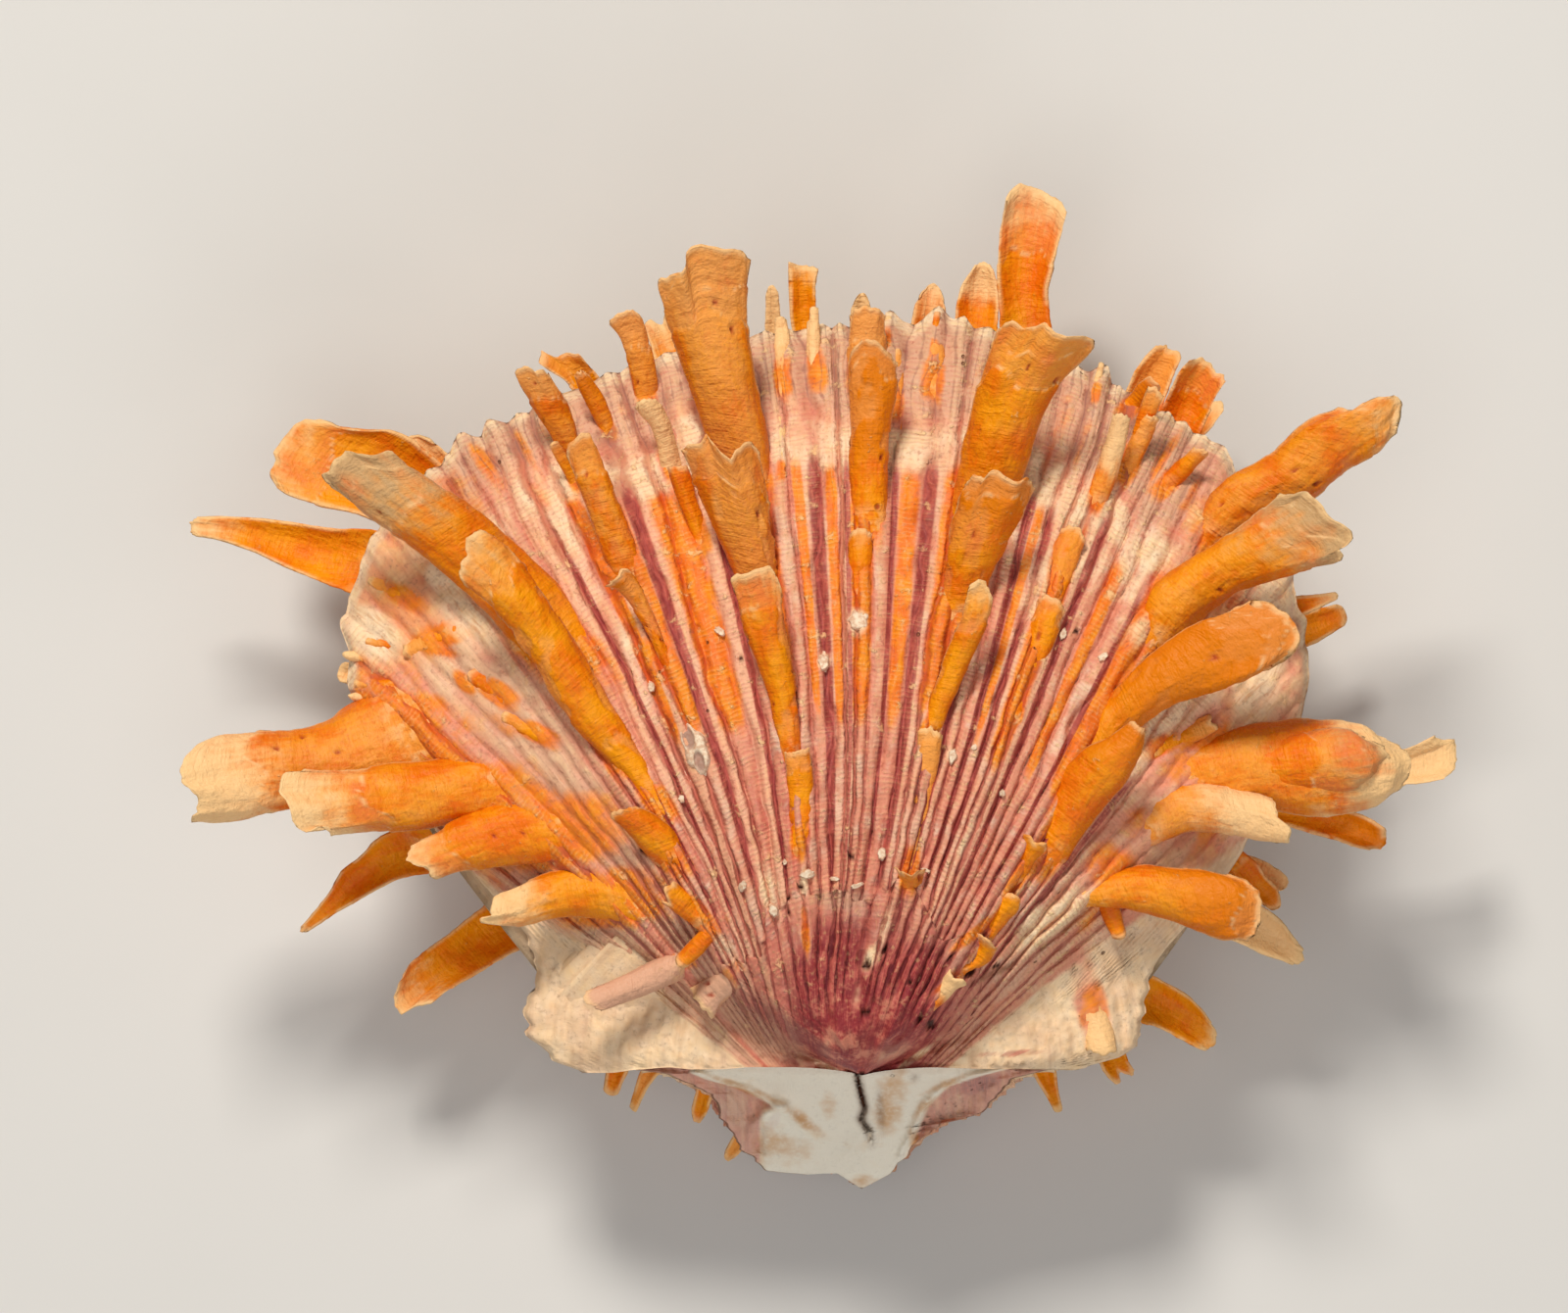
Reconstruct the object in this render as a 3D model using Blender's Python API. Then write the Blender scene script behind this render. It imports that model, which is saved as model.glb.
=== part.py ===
"""A thorny oyster shell with both valves closed, lying on its lower valve.

Lengths are worked out in millimetres and written to the meshes in metres. X runs to
the right along the hinge, Y from the hinge to the far margin, and Z up through the
upper valve. The umbo of the upper valve is at SHELL_ORIGIN away from the world origin,
which is the middle of the underside of the whole shell. Angles are in degrees about
the umbo, from the Y axis towards +X.
"""

import math
from typing import NamedTuple

import bmesh
import bpy
import numpy as np
from mathutils import Vector

MM = 0.001

# Where the umbo stands from the middle of the whole shell's underside.
SHELL_ORIGIN = (3.7, -38.75, 0.0)

# The valves meet in a level plane at this height, each half a gap away from it.
COMMISSURE = 25.0
HALF_GAP = 0.15

# Growth fans out from the umbo: each rib leaves it wider than it ends.
HINGE_ANGLE = 92.0
SPREAD_ANGLE = 26.0
SPREAD_REACH = 20.0

# The fan of ribs lies between these end angles, and the ears fill the rest.
FAN_LEFT = -60.0
FAN_RIGHT = 56.0
RIBLETS = 48
EAR_COLUMNS = 7
RIBLET_HEIGHT = 0.32
MAIN_RIBS = (-51.5, -36.0, -23.5, -10.2, 0.0, 9.3, 20.5, 31.0, 47.5)
MAIN_RIB_HEIGHT = 0.9
MAIN_RIB_SPREAD = 2.6
RIB_RISE = 22.0

# End angle and distance from the umbo, round the edge of each valve.
UPPER_MARGIN = (
    (-92, 27.5), (-87, 33.5), (-80, 34.5), (-70, 34.5), (-64, 38), (-60, 48),
    (-57, 58), (-52, 66), (-46, 72), (-38, 75), (-22, 75), (0, 75.5),
    (9, 76.5), (18, 74), (29, 73), (35, 70), (42, 65), (47, 57),
    (52, 47), (57, 39), (62, 33.5), (67, 31), (75, 29.5), (87, 28), (92, 20.5),
)
LOWER_MARGIN = (
    (-92, 29), (-87, 32), (-78, 33), (-68, 34), (-62, 44), (-56, 59),
    (-50, 68), (-40, 73.5), (-22, 74), (0, 74.5), (9, 75.5), (18, 73.5),
    (30, 73), (37, 70), (43, 66.5), (52, 58), (60, 48), (64, 38),
    (69, 30.5), (80, 28), (92, 24),
)
MARGIN_BLUR = 3.0

# The upper valve is a dome that is highest a third of the way out.
UPPER_EDGE = 1.8
DOME_HEIGHT = 16.0
DOME_SHAPE = (0.62, 0.7)
BEAK_HEIGHT = 4.2
BEAK_REACH = 8.0
BEAK_OVERHANG = 1.3
BEAK_OVERHANG_REACH = 4.0
EAR_SLOPE = 3.0
DOME_ACROSS = (
    (-92, 0.0), (-64, 0.02), (-58, 0.16), (-50, 0.44), (-40, 0.73), (-25, 0.94),
    (0, 1.0), (22, 0.95), (35, 0.75), (45, 0.48), (53, 0.2), (59, 0.03), (92, 0.0),
)
UPPER_RINGS = (0.0, 0.07, 0.17, 0.3, 0.46, 0.63, 0.8, 0.93, 1.0)

# The lower valve is a deeper bowl whose beak reaches down behind the hinge.
LOWER_BEAK = (0.0, -13.4)
CARDINAL_SLOPE = 0.95
BOWL_DEPTH = 21.5
BOWL_SHAPE = (1.0, 0.75)
BOWL_SIDE_RISE = 0.15
BOWL_SIDE_ANGLE = 45.0
BOWL_SIDE_POWER = 1.5
BEAK_SIDE_START = 46.0
BEAK_SIDE_POWER = 1.4
LEFT_BEAK_EDGE = (
    (0, -13.4), (-2.6, -11.7), (-6, -11.9), (-9.8, -11.4), (-13.2, -8),
    (-15.1, -3.6), (-20, -1.3), (-29.5, 0),
)
RIGHT_BEAK_EDGE = (
    (0, -13.4), (3, -11.8), (5.3, -9), (8.2, -6.6), (12.6, -5.4),
    (15.4, -1.8), (19, -0.9), (25, 0),
)
LOWER_COLUMNS = 66
LOWER_RIB_HEIGHT = 0.5
LOWER_RINGS = (0.0, 0.14, 0.3, 0.47, 0.63, 0.78, 0.9, 1.0)

# The room for the animal: a flattened egg that both valves are hollowed by.
CAVITY_MIDDLE = (-3.5, 38.0)
CAVITY_SIZE = (37.5, 30.5)
CAVITY_UP = 11.0
CAVITY_DOWN = 15.0

# The dark ligament sits in a slit in the middle of the cardinal area.
SLIT_FROM = (-0.6, -0.9)
SLIT_TO = (0.5, -5.2)
SLIT_WIDTH = 1.5
SLIT_DEPTH = 4.0
SLIT_OVERCUT = 2.0
LIGAMENT_GAP = 0.35


class Spine(NamedTuple):
    """A gutter-shaped spine: where it leaves the shell, its tip, and its widths.

    Height is that of the tip over the commissure.
    """

    root: tuple[float, float]
    tip: tuple[float, float]
    root_width: float
    tip_width: float
    height: float


UPPER_SPINES = (
    # The short stick and the broad tongues of the far left rib.
    Spine((-18, 10.5), (-28.2, 5.7), 2.4, 1.8, 9.5),
    Spine((-23.5, 15.8), (-38, 14), 5.0, 5.0, 9.0),
    Spine((-29.5, 22.5), (-46.5, 20.5), 6.0, 5.6, 8.5),
    Spine((-36, 28.7), (-58.8, 26.6), 7.0, 6.6, 9.5),
    Spine((-43, 33), (-68.8, 28.6), 9.0, 7.6, 6.0),
    Spine((-41, 41.3), (-46, 43), 1.8, 1.2, 7.5),
    # Left rib.
    Spine((-15.2, 13.8), (-18.8, 10), 2.2, 1.6, 13.0),
    Spine((-16.3, 14.8), (-20.2, 18), 2.8, 2.4, 16.0),
    Spine((-17.5, 20), (-25.5, 25.5), 3.2, 3.6, 17.0),
    Spine((-21, 27), (-38.5, 51.8), 4.2, 6.0, 18.5),
    Spine((-33.5, 45.5), (-53.2, 60.7), 8.0, 7.6, 14.5),
    # Left middle rib.
    Spine((-19, 40.5), (-25.5, 50), 3.2, 4.2, 17.5),
    Spine((-23, 49.5), (-29, 63.7), 4.5, 3.8, 15.5),
    Spine((-28, 61), (-34, 70.5), 4.6, 4.0, 11.0),
    Spine((-24, 63), (-28.8, 70), 1.4, 1.2, 9.5),
    Spine((-21.5, 68.5), (-24.5, 76.5), 3.4, 3.2, 7.5),
    Spine((-16.5, 53.5), (-19, 61), 2.2, 1.8, 13.0),
    Spine((-20.2, 61.5), (-21.8, 67), 1.6, 2.0, 12.0),
    # Rib left of the middle.
    Spine((-6, 21.5), (-6.2, 24.7), 2.4, 2.2, 20.0),
    Spine((-6.2, 25.5), (-6.7, 32), 2.6, 3.0, 21.0),
    Spine((-7.5, 33), (-10.5, 50.5), 3.0, 5.5, 20.5),
    Spine((-9, 48.5), (-15, 63.5), 6.0, 8.8, 18.0),
    Spine((-10.5, 60.5), (-16, 82.6), 7.0, 9.8, 17.0),
    # Middle rib.
    Spine((-0.5, 47.5), (-0.5, 52.5), 3.0, 3.0, 17.0),
    Spine((0, 58.5), (1, 73.5), 4.4, 5.2, 14.0),
    # Rib right of the middle.
    Spine((4.4, 15.5), (4.5, 20), 2.6, 3.0, 19.0),
    Spine((4.6, 20.5), (5.5, 29.5), 2.4, 2.8, 20.5),
    Spine((6.5, 34.5), (12, 48.5), 3.2, 5.2, 20.5),
    Spine((8, 46.5), (14.5, 60), 5.5, 7.4, 18.5),
    Spine((9, 54.5), (18.5, 74), 6.0, 11.0, 18.0),
    # Right middle rib.
    Spine((14.5, 36), (17.5, 41), 3.0, 2.6, 17.5),
    Spine((17, 47), (20.7, 54.4), 3.2, 3.4, 15.5),
    Spine((23, 58.5), (25.5, 65.5), 2.4, 2.6, 11.0),
    Spine((25, 61), (29, 70), 3.0, 3.2, 9.5),
    # Right rib.
    Spine((18, 23.5), (27.5, 34), 4.2, 4.6, 18.0),
    Spine((21, 31.5), (42, 44.5), 5.5, 7.4, 15.5),
    Spine((28, 44.5), (47, 55.5), 6.0, 7.0, 13.0),
    Spine((36, 57), (55, 66.6), 6.5, 5.6, 9.5),
    # Far right rib.
    Spine((22.5, 17.3), (40, 14.5), 5.5, 6.0, 9.0),
    Spine((30, 25), (43.5, 24), 4.8, 4.4, 8.5),
    Spine((35, 30.3), (55, 29.8), 7.5, 7.6, 9.0),
    Spine((24.5, 17.5), (26.5, 12.6), 2.4, 1.6, 7.0),
    Spine((23.5, 7.5), (25.2, 0.8), 3.4, 2.0, 4.0),
)

LOWER_SPINES = (
    # Left side, from the far margin to the hinge.
    Spine((-26, 66), (-31.5, 72.7), 5.0, 5.0, 0.5),
    Spine((-38, 56), (-60.2, 62), 7.0, 9.0, 0.5),
    Spine((-45, 49.5), (-68.8, 55.2), 6.5, 1.6, -5.0),
    Spine((-38, 24), (-57.5, 13.6), 5.5, 1.0, -7.0),
    Spine((-27, 15.5), (-47.6, 5.4), 5.0, 4.6, -6.0),
    # Behind the hinge.
    Spine((-24.5, 2), (-25.8, -3.6), 3.0, 1.6, -4.0),
    Spine((-19, 1.5), (-23.5, -5.2), 2.6, 0.8, -5.0),
    Spine((-15.5, -0.5), (-17, -6.4), 2.4, 1.4, -6.0),
    Spine((-11, -6), (-14, -10.4), 2.4, 1.2, -11.5),
    Spine((17.5, 2), (20.3, -5.3), 3.4, 0.8, -4.5),
    Spine((23.5, 4), (27, -2), 3.6, 2.6, -3.5),
    # Right side, from the hinge to the far margin.
    Spine((27, 9), (36.5, 1.6), 4.6, 4.6, -5.0),
    Spine((36, 18), (45.2, 10.8), 5.0, 3.0, -6.5),
    Spine((38.5, 20.5), (42.8, 15.6), 3.0, 2.4, -4.0),
    Spine((40, 26), (53.8, 23), 4.0, 3.2, -6.0),
    Spine((41, 29.5), (61.2, 31.6), 6.0, 3.8, -3.0),
    Spine((41, 45.5), (48.9, 47.8), 3.2, 0.8, -4.0),
    Spine((30, 62), (35.6, 71.4), 5.5, 5.6, 1.0),
    Spine((26.5, 65.5), (31.2, 73), 2.8, 2.4, -1.5),
    # Far margin.
    Spine((15.5, 70.5), (18, 89.6), 5.6, 7.2, 0.5),
    Spine((12.5, 71.5), (11, 81.6), 3.6, 3.2, -3.0),
    Spine((-0.2, 71), (0, 78.8), 2.4, 2.0, -1.0),
    Spine((-9, 71), (-9.3, 79.6), 2.0, 1.2, -1.5),
    Spine((-5.8, 71), (-6, 82), 3.0, 2.8, -1.0),
    # On the sides of the bowl, low down.
    Spine((-35, 51), (-47, 64), 5.0, 4.0, -14.0),
    Spine((-39, 36), (-54, 40), 5.0, 2.0, -13.0),
    Spine((-31, 23), (-45, 20.5), 4.5, 3.0, -14.0),
    Spine((-16, 64), (-21, 77), 4.5, 4.0, -13.0),
    Spine((5, 65.5), (7.5, 80), 4.5, 3.0, -12.0),
    Spine((27, 58), (37, 69), 4.5, 4.0, -13.0),
    Spine((37, 41), (50, 46), 5.0, 2.4, -14.0),
    Spine((31, 22), (44, 18), 4.5, 3.0, -13.0),
)

# How a spine is set into its valve, and how it curls and hollows out towards its tip.
LOWER_ROOT_COVER = 1.5
LOWER_ROOT_SLANT = 0.25
LOWER_ROOT_LIFT = 0.8
HINGE_STRIP = 4.5
GUTTER_HALF_ANGLE = (100.0, 68.0)
SPINE_ROOT_SINK = 0.42
SPINE_CURL = 0.16
GUTTER_HOLLOW = (0.1, 0.74)
LOOK_AHEAD = 0.05

# Faces across and rings along a broad spine and a fine one.
BROAD_SPINE = 3.9
BROAD_FACES = (4, 3)
FINE_FACES = (3, 2)
BROAD_STATIONS = (0.0, 0.4, 0.74, 1.0)
FINE_STATIONS = (0.0, 0.55, 1.0)

# The places at which the lower valve's outside is looked up for the root of a spine.
SEARCH_COLUMNS = 61
SEARCH_ROWS = 36
SEARCH_FROM = 0.3

# The flat that the shell was broken off its rock at is cut by a block of this size.
GROUND_BLOCK = (200.0, 200.0, 40.0)

SAME_POINT = 0.001


def blurred(table: tuple, angle: float) -> float:
    """Reads a table of pairs at an angle, averaged over MARGIN_BLUR each way."""
    angles, values = zip(*table)
    near = np.linspace(angle - MARGIN_BLUR, angle + MARGIN_BLUR, 7)
    return float(np.mean(np.interp(near, angles, values)))


def grown_angle(end_angle: float, distance: float) -> float:
    """The angle at which a rib with this end angle passes, at this distance."""
    swing = math.sin(math.pi * end_angle / HINGE_ANGLE)
    return end_angle + SPREAD_ANGLE * swing * math.exp(-distance / SPREAD_REACH)


def end_angle_through(x: float, y: float) -> float:
    """The end angle of the rib that passes through a point, found by halving."""
    wanted = math.degrees(math.atan2(x, y))
    low, high = -HINGE_ANGLE, HINGE_ANGLE
    for _ in range(40):
        middle = (low + high) / 2
        if grown_angle(middle, math.hypot(x, y)) < wanted:
            low = middle
        else:
            high = middle
    return (low + high) / 2


def on_fan(end_angle: float, distance: float) -> tuple[float, float]:
    """The plan position at a distance from the umbo along a rib."""
    angle = math.radians(grown_angle(end_angle, distance))
    return distance * math.sin(angle), distance * math.cos(angle)


def main_rib(end_angle: float) -> float:
    """How far the main ribs raise the shell at this end angle, from 0 to 1."""
    return max(
        math.exp(-(((end_angle - rib) / MAIN_RIB_SPREAD) ** 2)) for rib in MAIN_RIBS
    )


def upper_height(end_angle: float, share: float, distance: float) -> float:
    """Height of the smooth upper valve over the commissure."""
    power, flatness = DOME_SHAPE
    dome = math.sin(math.pi * min(share, 1.0) ** power) ** flatness if share < 1 else 0.0
    across = blurred(DOME_ACROSS, end_angle)
    ear = EAR_SLOPE * (1 - across) * 4 * share * max(0.0, 1 - share)
    beak = BEAK_HEIGHT * math.exp(-((distance / BEAK_REACH) ** 2))
    return UPPER_EDGE + ear + beak + DOME_HEIGHT * across * dome


def upper_surface_at(x: float, y: float) -> float:
    """Height of the upper valve at a plan position, main ribs included."""
    distance = math.hypot(x, y)
    end_angle = end_angle_through(x, y)
    share = distance / blurred(UPPER_MARGIN, end_angle)
    rib = MAIN_RIB_HEIGHT * main_rib(end_angle) * min(1.0, distance / RIB_RISE)
    return COMMISSURE + upper_height(end_angle, share, distance) + rib


def warped_sheet(across: int, along: int, place) -> bmesh.types.BMesh:
    """A grid whose points go where place(column, row) says, in millimetres."""
    sheet = bmesh.new()
    bmesh.ops.create_grid(sheet, x_segments=across, y_segments=along, size=0.5)
    for point in sheet.verts:
        column = round((point.co.x + 0.5) * across)
        row = round((point.co.y + 0.5) * along)
        point.co = Vector(place(column, row))
    return sheet


def new_object(name: str, mesh: bmesh.types.BMesh, collection) -> bpy.types.Object:
    """Turns a mesh's faces outwards, moves it to its place and scales it to metres."""
    mesh.normal_update()
    bmesh.ops.recalc_face_normals(mesh, faces=mesh.faces)
    bmesh.ops.translate(mesh, verts=mesh.verts, vec=Vector(SHELL_ORIGIN))
    bmesh.ops.scale(mesh, verts=mesh.verts, vec=Vector((MM, MM, MM)))
    data = bpy.data.meshes.new(name)
    mesh.to_mesh(data)
    mesh.free()
    made = bpy.data.objects.new(name, data)
    collection.objects.link(made)
    return made


def helper(made: bpy.types.Object) -> bpy.types.Object:
    """Marks an object as a cutter or a guide."""
    made.hide_render = True
    made.display_type = "WIRE"
    return made


def add_boolean(target: bpy.types.Object, operation: str, other: bpy.types.Object) -> None:
    """Cuts or joins one helper object."""
    modifier = target.modifiers.new(f"{operation.lower()} {other.name}", "BOOLEAN")
    modifier.operation = operation
    modifier.object = other
    modifier.solver = "EXACT"


def join_spines(target: bpy.types.Object, spines: bpy.types.Collection) -> None:
    """Fuses all the spines of a collection into the valve that grew them."""
    modifier = target.modifiers.new("spines", "BOOLEAN")
    modifier.operation = "UNION"
    modifier.operand_type = "COLLECTION"
    modifier.collection = spines
    modifier.solver = "EXACT"
    modifier.use_self = True


def material(name: str, colour: tuple, roughness: float) -> bpy.types.Material:
    """A plain finish in one colour."""
    finish = bpy.data.materials.new(name)
    finish.use_nodes = True
    shader = finish.node_tree.nodes["Principled BSDF"]
    shader.inputs["Base Color"].default_value = (*colour, 1.0)
    shader.inputs["Roughness"].default_value = roughness
    shader.inputs["Metallic"].default_value = 0.0
    return finish


def upper_valve_body(collection) -> bpy.types.Object:
    """The closed body of the upper valve: ribbed above, flat below."""
    fan = np.linspace(FAN_LEFT, FAN_RIGHT, 2 * RIBLETS + 1)
    left_ear = np.linspace(-HINGE_ANGLE, FAN_LEFT, EAR_COLUMNS + 1)[:-1]
    right_ear = np.linspace(FAN_RIGHT, HINGE_ANGLE, EAR_COLUMNS + 1)[1:]
    angles = np.concatenate((left_ear, fan, right_ear))

    def place(column: int, row: int) -> tuple[float, float, float]:
        end_angle = float(angles[column])
        share = UPPER_RINGS[row]
        distance = share * blurred(UPPER_MARGIN, end_angle)
        x, y = on_fan(end_angle, distance)
        in_fan = FAN_LEFT < end_angle < FAN_RIGHT
        riblet = RIBLET_HEIGHT * (-1) ** (column + EAR_COLUMNS) if in_fan else 0.0
        relief = riblet + MAIN_RIB_HEIGHT * main_rib(end_angle)
        height = upper_height(end_angle, share, distance)
        height += relief * min(1.0, distance / RIB_RISE)
        y -= BEAK_OVERHANG * math.exp(-distance / BEAK_OVERHANG_REACH)
        return x, y, COMMISSURE + height

    body = warped_sheet(len(angles) - 1, len(UPPER_RINGS) - 1, place)
    bmesh.ops.remove_doubles(body, verts=body.verts, dist=SAME_POINT)
    rim = [edge for edge in body.edges if edge.is_boundary]
    wall = bmesh.ops.extrude_edge_only(body, edges=rim)["geom"]
    for point in (part for part in wall if isinstance(part, bmesh.types.BMVert)):
        point.co.z = COMMISSURE + HALF_GAP
    open_edges = [edge for edge in body.edges if edge.is_boundary]
    bmesh.ops.edgeloop_fill(body, edges=open_edges)
    return new_object("upper_valve", body, collection)


def along_points(points: tuple, share: float) -> np.ndarray:
    """The point at a share of the way along a line through given points."""
    line = np.array(points, float)
    travelled = np.concatenate(([0], np.cumsum(np.hypot(*np.diff(line, axis=0).T))))
    wanted = share * travelled[-1]
    return np.array([np.interp(wanted, travelled, line[:, axis]) for axis in (0, 1)])


def lower_point(end_angle: float, share: float) -> tuple[float, float, float]:
    """A point of the smooth lower valve, from its beak (0) to its margin (1)."""
    side = max(0.0, (abs(end_angle) - BEAK_SIDE_START) / (HINGE_ANGLE - BEAK_SIDE_START))
    side = side**BEAK_SIDE_POWER
    margin = np.array(on_fan(end_angle, blurred(LOWER_MARGIN, end_angle)))
    beak = np.array(LOWER_BEAK, float)
    edge = along_points(LEFT_BEAK_EDGE if end_angle < 0 else RIGHT_BEAK_EDGE, share)
    plan = (1 - side) * (beak + share * (margin - beak)) + side * edge
    top = COMMISSURE - HALF_GAP
    beak_height = top + CARDINAL_SLOPE * LOWER_BEAK[1]
    power, flatness = BOWL_SHAPE
    hollow = math.sin(math.pi * share**power) ** flatness if 0 < share < 1 else 0.0
    shallower = BOWL_SIDE_RISE * (abs(end_angle) / BOWL_SIDE_ANGLE) ** BOWL_SIDE_POWER
    bowl = beak_height + share * (top - beak_height)
    bowl -= BOWL_DEPTH * (1 - shallower) * hollow
    height = (1 - side) * bowl + side * (top + CARDINAL_SLOPE * edge[1])
    return float(plan[0]), float(plan[1]), height


def lower_surface_near(x: float, y: float) -> float:
    """Height of the lower valve's outside at a plan position."""
    angles = np.linspace(-HINGE_ANGLE, HINGE_ANGLE, SEARCH_COLUMNS)
    shares = np.linspace(SEARCH_FROM, 1.0, SEARCH_ROWS)
    points = (lower_point(float(a), float(s)) for a in angles for s in shares)
    nearest = min(points, key=lambda point: math.hypot(point[0] - x, point[1] - y))
    return nearest[2]


def lower_valve_body(collection) -> bpy.types.Object:
    """The closed body of the lower valve: a bowl under a flat rim and cardinal area."""
    angles = np.linspace(-HINGE_ANGLE, HINGE_ANGLE, LOWER_COLUMNS + 1)

    def place(column: int, row: int) -> tuple[float, float, float]:
        share = LOWER_RINGS[row]
        x, y, z = lower_point(float(angles[column]), share)
        inside = 0 < column < LOWER_COLUMNS and 0 < share < 1
        return x, y, z - (LOWER_RIB_HEIGHT * (column % 2) if inside else 0.0)

    body = warped_sheet(LOWER_COLUMNS, len(LOWER_RINGS) - 1, place)
    bmesh.ops.remove_doubles(body, verts=body.verts, dist=SAME_POINT)
    top = COMMISSURE - HALF_GAP
    rim = [edge for edge in body.edges if edge.is_boundary]
    margin_edges = [
        edge for edge in rim if all(abs(v.co.z - top) < SAME_POINT for v in edge.verts)
    ]
    corners = [
        vertex
        for vertex in {v for e in margin_edges for v in e.verts}
        if sum(e in margin_edges for e in vertex.link_edges) == 1
    ]
    hinge_line = body.edges.new(corners)
    beak_edges = [edge for edge in rim if edge not in margin_edges]
    bmesh.ops.edgeloop_fill(body, edges=[*margin_edges, hinge_line])
    bmesh.ops.edgeloop_fill(body, edges=[*beak_edges, hinge_line])
    return new_object("lower_valve", body, collection)


def spine_path(spine: Spine, share: float, root_height: float) -> Vector:
    """A point on the middle line of a spine, which lifts off towards its tip."""
    root = Vector((*spine.root, root_height))
    tip = Vector((*spine.tip, COMMISSURE + spine.height))
    point = root.lerp(tip, share)
    point.z -= SPINE_CURL * (tip - root).xy.length * share * (1 - share)
    return point


def spine_object(name: str, spine: Spine, opens_up: bool, collection) -> bpy.types.Object:
    """A spine that is solid where it grows out and hollowed to a gutter at its tip."""
    sink = SPINE_ROOT_SINK * spine.root_width
    if opens_up and spine.root[1] < HINGE_STRIP:
        root_height = COMMISSURE + CARDINAL_SLOPE * min(0.0, spine.root[1])
        root_height -= LOWER_ROOT_COVER + sink
    elif opens_up:
        ceiling = COMMISSURE - LOWER_ROOT_COVER - LOWER_ROOT_SLANT * spine.root_width
        surface = lower_surface_near(*spine.root)
        root_height = min(ceiling, surface + sink + LOWER_ROOT_LIFT)
    else:
        root_height = upper_surface_at(*spine.root) - sink
    broad = spine.root_width >= BROAD_SPINE
    back, front = BROAD_FACES if broad else FINE_FACES
    stations = BROAD_STATIONS if broad else FINE_STATIONS
    outward = -1.0 if opens_up else 1.0

    def place(column: int, row: int) -> tuple[float, float, float]:
        share = stations[row]
        middle = spine_path(spine, share, root_height)
        ahead = spine_path(spine, share + LOOK_AHEAD, root_height) - middle
        side = ahead.cross(Vector((0, 0, 1))).normalized()
        normal = side.cross(ahead).normalized() * outward
        half = math.radians(float(np.interp(share, (0, 1), GUTTER_HALF_ANGLE)))
        width = spine.root_width + share * (spine.tip_width - spine.root_width)
        radius = width / 2 / math.sin(min(half, math.pi / 2))
        turn = half * (2 * column / back - 1)
        if column > back:
            turn = half * (1 - 2 * (column - back) / front)
        if back < column < back + front:
            radius *= float(np.interp(share, (0, 1), GUTTER_HOLLOW))
        return tuple(middle + radius * (side * math.sin(turn) + normal * math.cos(turn)))

    body = warped_sheet(back + front, len(stations) - 1, place)
    bmesh.ops.remove_doubles(body, verts=body.verts, dist=SAME_POINT)
    bmesh.ops.holes_fill(body, edges=body.edges, sides=back + front)
    return helper(new_object(name, body, collection))


def grow_spines(name: str, spines: tuple, opens_up: bool, helpers) -> bpy.types.Collection:
    """All the spines of one valve in a collection of their own."""
    group = bpy.data.collections.new(name)
    helpers.children.link(group)
    for index, spine in enumerate(spines):
        spine_object(f"{name}_{index:02d}", spine, opens_up, group)
    return group


def cavity(helpers) -> bpy.types.Object:
    """The egg-shaped room that both valves are hollowed by."""
    egg = bmesh.new()
    bmesh.ops.create_uvsphere(egg, u_segments=18, v_segments=8, radius=1.0)
    for point in egg.verts:
        depth = CAVITY_UP if point.co.z > 0 else CAVITY_DOWN
        point.co = Vector((
            CAVITY_MIDDLE[0] + CAVITY_SIZE[0] * point.co.x,
            CAVITY_MIDDLE[1] + CAVITY_SIZE[1] * point.co.y,
            COMMISSURE + depth * point.co.z,
        ))
    return helper(new_object("room_for_the_animal", egg, helpers))


def block(name: str, middle: tuple, size: tuple, helpers) -> bpy.types.Object:
    """A box to cut with, by its middle and size."""
    box = bmesh.new()
    bmesh.ops.create_cube(box, size=1.0)
    bmesh.ops.scale(box, verts=box.verts, vec=Vector(size))
    bmesh.ops.translate(box, verts=box.verts, vec=Vector(middle))
    return helper(new_object(name, box, helpers))


def along_slit(name: str, gap: float, collection) -> bpy.types.Object:
    """A thin upright wedge that follows the slit in the cardinal area."""
    start = Vector((*SLIT_FROM, 0.0))
    end = Vector((*SLIT_TO, 0.0))
    ahead = (end - start).normalized()
    side = Vector((-ahead.y, ahead.x, 0.0))
    wedge = bmesh.new()
    bmesh.ops.create_cube(wedge, size=1.0)
    for point in wedge.verts:
        share = point.co.y + 0.5
        plan = start.lerp(end, share) + side * point.co.x * (SLIT_WIDTH - 2 * gap)
        plan += ahead * gap * (1 - 2 * share)
        surface = COMMISSURE - HALF_GAP + CARDINAL_SLOPE * plan.y
        top = -gap if gap else SLIT_OVERCUT
        bottom = gap - SLIT_DEPTH
        point.co = Vector((plan.x, plan.y, surface + (top if point.co.z > 0 else bottom)))
    return new_object(name, wedge, collection)


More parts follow.
